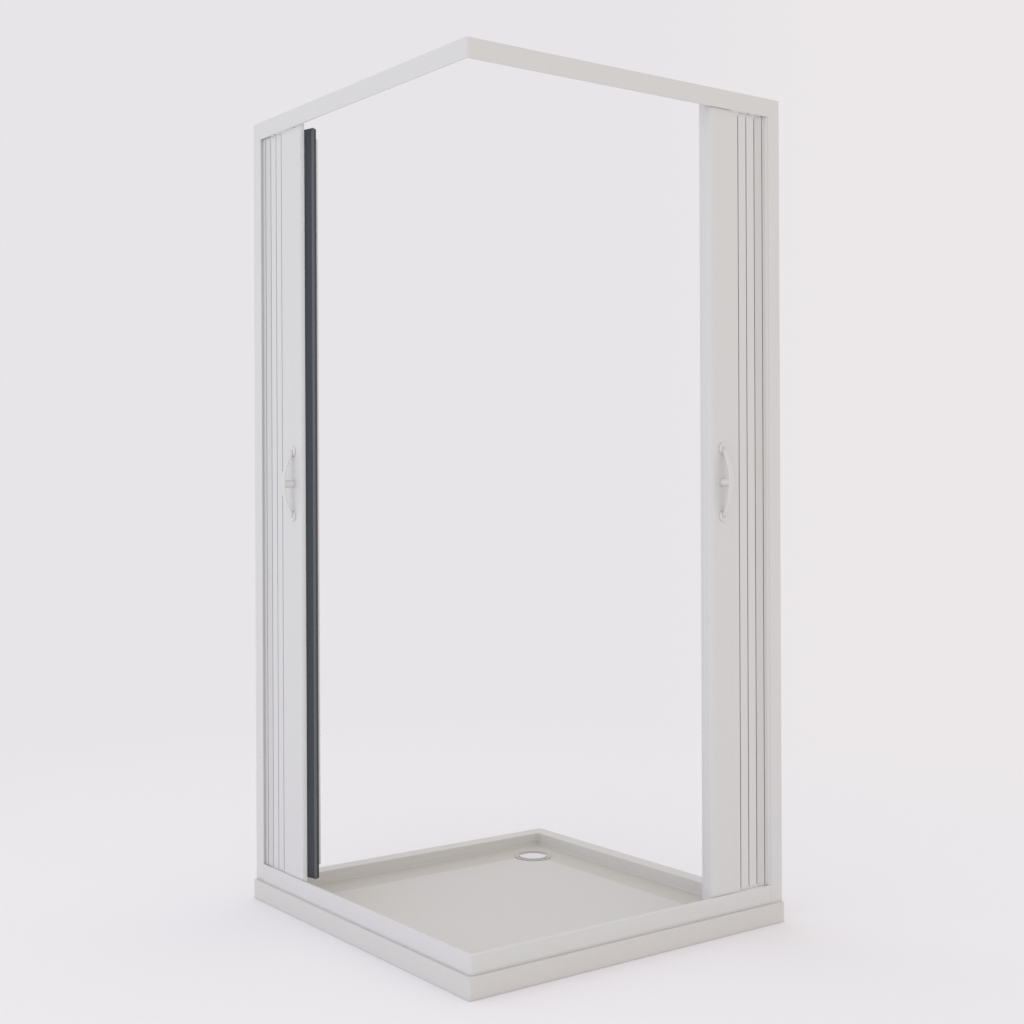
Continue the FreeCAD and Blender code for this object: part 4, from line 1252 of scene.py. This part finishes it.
class ENCLOSURE_OT_handles(bpy.types.Operator):
    """Make the two pull handles: a bow that widens in the middle, two pads and a middle peg"""

    bl_idname = "enclosure.handles"
    bl_label = "Handles"

    def execute(self, context):
        sizes = context.scene.enclosure_handle
        low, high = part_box("right_handle")
        along = (low[0] + high[0]) / 2
        up = (low[2] + high[2]) / 2
        face = wall_box("right_stile").near
        for side in SIDES:
            shell = together(
                handle_bow(side, sizes, along, face, up),
                handle_disc(side, sizes.pad, sizes.pad_thickness, along, face, up - sizes.spacing / 2),
                handle_disc(side, sizes.pad, sizes.pad_thickness, along, face, up + sizes.spacing / 2),
                handle_disc(side, sizes.peg, sizes.rise - sizes.thickness / 2, along, face, up),
            )
            body = side + "_lead_stile"
            add_piece(side + "_pull", shell, moulded_plastic(), body, (side + "_handle",))
        return {"FINISHED"}


def handle_bow(side, sizes, along, face, up, squareness=0.6):
    """A flat oval section carried along a circular arc from pad to pad. Its half width grows from the ends to
    the middle with one minus the square of the share of the arc. The oval is an ellipse whose cosine and sine
    are raised to the squareness, with their signs kept."""
    half = sizes.spacing / 2
    sag = sizes.rise - sizes.pad_thickness
    radius = (half ** 2 + sag ** 2) / (2 * sag)
    reach = math.asin(half / radius)
    turn = np.linspace(-reach, reach, 49)[:, None]
    grow = 1 - (turn / reach) ** 2
    width = (sizes.end_width + (sizes.middle_width - sizes.end_width) * grow) / 2
    around = np.linspace(0, 2 * np.pi, 32, endpoint=False)[None, :]
    across = np.sign(np.cos(around)) * np.abs(np.cos(around)) ** squareness
    thick = np.sign(np.sin(around)) * np.abs(np.sin(around)) ** squareness
    ring_r = radius - sizes.thickness / 2 + thick * sizes.thickness / 2
    inwards = face - sizes.rise + radius - ring_r * np.cos(turn)
    height = up + ring_r * np.sin(turn)
    return capped(on_wall(side, along + width * across, inwards, height))


def handle_disc(side, radius, height, along, face, up, softness=0.4):
    """A round boss on the stile's face, turned round its own axis. Its outer edge is a quarter arc, whose
    radius is the softness times the smaller of the boss's radius and height."""
    soft = min(radius, height) * softness
    turn = np.linspace(0, np.pi / 2, 7)
    profile = np.concatenate((
        ((0, 0), (radius, 0)),
        np.column_stack((radius - soft + soft * np.cos(turn), height - soft + soft * np.sin(turn))),
        ((0, height),),
    ))
    rings = turned(profile, 48)
    points = on_wall(side, along + rings[..., 0], face - rings[..., 2], up + rings[..., 1])
    return points.reshape(-1, 3), grid_faces(*rings.shape[:2]).tolist()


def floor_material(settings):
    """A pale floor that fades into the background with distance from the object's middle."""
    material = bpy.data.materials.new("studio_floor")
    material.use_nodes = True
    tree = material.node_tree
    place = add_node(tree, "ShaderNodeTexCoord").outputs["Object"]
    away = add_node(tree, "ShaderNodeVectorMath", {0: place}, operation="LENGTH").outputs["Value"]
    fade = smooth_step(tree, away, start=1.1, end=3.2, first=1.0, last=0.0)
    feed(tree, tree.nodes["Principled BSDF"], {
        "Base Color": (*settings.floor, 1), "Roughness": 1.0, "Specular IOR Level": 0.0, "Alpha": fade,
    })
    return material


def add_floor(settings, reach=6, depth=0.0005):
    """A round floor of even rings, just below the tray's foot."""
    radius = np.linspace(0, reach, 13)
    rings = turned(np.column_stack((radius, np.full(len(radius), -depth))))
    mesh = bpy.data.meshes.new("studio_floor")
    mesh.from_pydata(rings.reshape(-1, 3).tolist(), [], grid_faces(*rings.shape[:2]).tolist())
    mesh.materials.append(floor_material(settings))
    floor = bpy.data.objects.new("studio_floor", mesh)
    bpy.context.scene.collection.objects.link(floor)


def add_world(settings):
    """Even light that turns from cool on the left wall's side to warm on the right wall's, by the direction's
    share of the line between them. Camera, glossy and transmission rays see the background in its place,
    which turns slightly lighter on the far right."""
    world = bpy.data.worlds.new("studio")
    bpy.context.scene.world = world
    world.use_nodes = True
    tree = world.node_tree
    to_left = (-math.sqrt(0.5), math.sqrt(0.5), 0)
    place = add_node(tree, "ShaderNodeTexCoord").outputs["Generated"]
    across = add_node(tree, "ShaderNodeVectorMath", {0: place, 1: to_left}, operation="DOT_PRODUCT")
    across = across.outputs["Value"]
    share = add_node(tree, "ShaderNodeMapRange", {"Value": across, "From Min": -1.0}).outputs["Result"]
    tint = blend(tree, share, (*settings.warm_light, 1), (*settings.cool_light, 1))
    even = tree.nodes["Background"]
    feed(tree, even, {"Color": tint, "Strength": settings.ambient})
    lean = smooth_step(tree, across, start=-0.10, end=0.055)
    behind = blend(tree, lean, (*settings.right_background, 1), (*settings.background, 1))
    shown = add_node(tree, "ShaderNodeBackground", {"Color": behind})
    rays = add_node(tree, "ShaderNodeLightPath").outputs
    seen = rays["Is Camera Ray"]
    for kind in ("Is Glossy Ray", "Is Transmission Ray"):
        seen = compute(tree, "MAXIMUM", seen, rays[kind])
    mix = add_node(tree, "ShaderNodeMixShader", {0: seen, 1: even.outputs[0], 2: shown.outputs[0]})
    feed(tree, tree.nodes["World Output"], {"Surface": mix.outputs[0]})


def add_lamp(name, place, power, tint, target=(0, 0, 0.9), size=2.5):
    """A large soft lamp at one place, turned to face another."""
    lamp = bpy.data.lights.new(name, "AREA")
    lamp.shape = "DISK"
    lamp.size = size
    lamp.energy = power
    lamp.color = tint
    holder = bpy.data.objects.new(name, lamp)
    holder.location = place
    bpy.context.scene.collection.objects.link(holder)
    direction = np.array(target) - np.array(place)
    yaw = math.atan2(direction[1], direction[0])
    pitch = math.atan2(direction[2], math.hypot(direction[0], direction[1]))
    holder.rotation_euler = (math.pi / 2 + pitch, 0, yaw - math.pi / 2)


def add_camera(settings):
    """A level camera, turned to the right of the y axis and slightly about its own axis."""
    lens = bpy.data.cameras.new("camera")
    lens.sensor_width = 36.0
    lens.lens = settings.lens
    lens.shift_x = settings.shift_x
    lens.shift_y = settings.shift_y
    camera = bpy.data.objects.new("camera", lens)
    bpy.context.scene.collection.objects.link(camera)
    turn = Matrix.Rotation(-settings.yaw, 4, "Z") @ Matrix.Rotation(math.pi / 2, 4, "X")
    camera.matrix_world = Matrix.Translation(settings.camera) @ turn @ Matrix.Rotation(settings.roll, 4, "Z")
    bpy.context.scene.camera = camera


class ENCLOSURE_OT_stage(bpy.types.Operator):
    """Set up the floor, the even light, the two soft lamps and the camera"""

    bl_idname = "enclosure.stage"
    bl_label = "Stage"

    def execute(self, context):
        settings = context.scene.enclosure_stage
        context.scene.view_settings.view_transform = "Standard"
        add_floor(settings)
        add_world(settings)
        add_lamp("left_lamp", place=(-4.0, -0.5, 1.3), power=settings.lamps, tint=(0.9, 0.92, 1.0))
        add_lamp("right_lamp", place=(0.8, -4.0, 1.3), power=settings.lamps / 2, tint=(1.0, 0.93, 0.86))
        add_camera(settings)
        return {"FINISHED"}


STEPS = (
    ENCLOSURE_OT_kept_parts,
    ENCLOSURE_OT_tray,
    ENCLOSURE_OT_waste,
    ENCLOSURE_OT_rails,
    ENCLOSURE_OT_corner_screws,
    ENCLOSURE_OT_tracks,
    ENCLOSURE_OT_posts,
    ENCLOSURE_OT_cover_strips,
    ENCLOSURE_OT_stiles,
    ENCLOSURE_OT_end_lining,
    ENCLOSURE_OT_catch_cushion,
    ENCLOSURE_OT_closing_profile,
    ENCLOSURE_OT_handles,
    ENCLOSURE_OT_stage,
)


class ENCLOSURE_PT_panel(bpy.types.Panel):
    """The steps that dress the enclosure, in order"""

    bl_idname = "ENCLOSURE_PT_panel"
    bl_label = "Enclosure"
    bl_space_type = "VIEW_3D"
    bl_region_type = "UI"
    bl_category = "Enclosure"

    def draw(self, context):
        for step in STEPS:
            self.layout.operator(step.bl_idname)


GROUPS = {
    "enclosure_tray": TraySizes,
    "enclosure_frame": FrameSizes,
    "enclosure_leaf": LeafSizes,
    "enclosure_handle": HandleSizes,
    "enclosure_finishes": Finishes,
    "enclosure_stage": StageSettings,
}


def register():
    """Register the groups, the steps and the panel."""
    for name, group in GROUPS.items():
        bpy.utils.register_class(group)
        setattr(bpy.types.Scene, name, PointerProperty(type=group))
    for step in STEPS:
        bpy.utils.register_class(step)
    bpy.utils.register_class(ENCLOSURE_PT_panel)


def unregister():
    """Take everything out again, in reverse."""
    bpy.utils.unregister_class(ENCLOSURE_PT_panel)
    for step in reversed(STEPS):
        bpy.utils.unregister_class(step)
    for name, group in reversed(GROUPS.items()):
        delattr(bpy.types.Scene, name)
        bpy.utils.unregister_class(group)


def main():
    """Dress the enclosure step by step."""
    register()
    for step in STEPS:
        group, name = step.bl_idname.split(".")
        getattr(getattr(bpy.ops, group), name)()


if __name__ == "__main__":
    main()
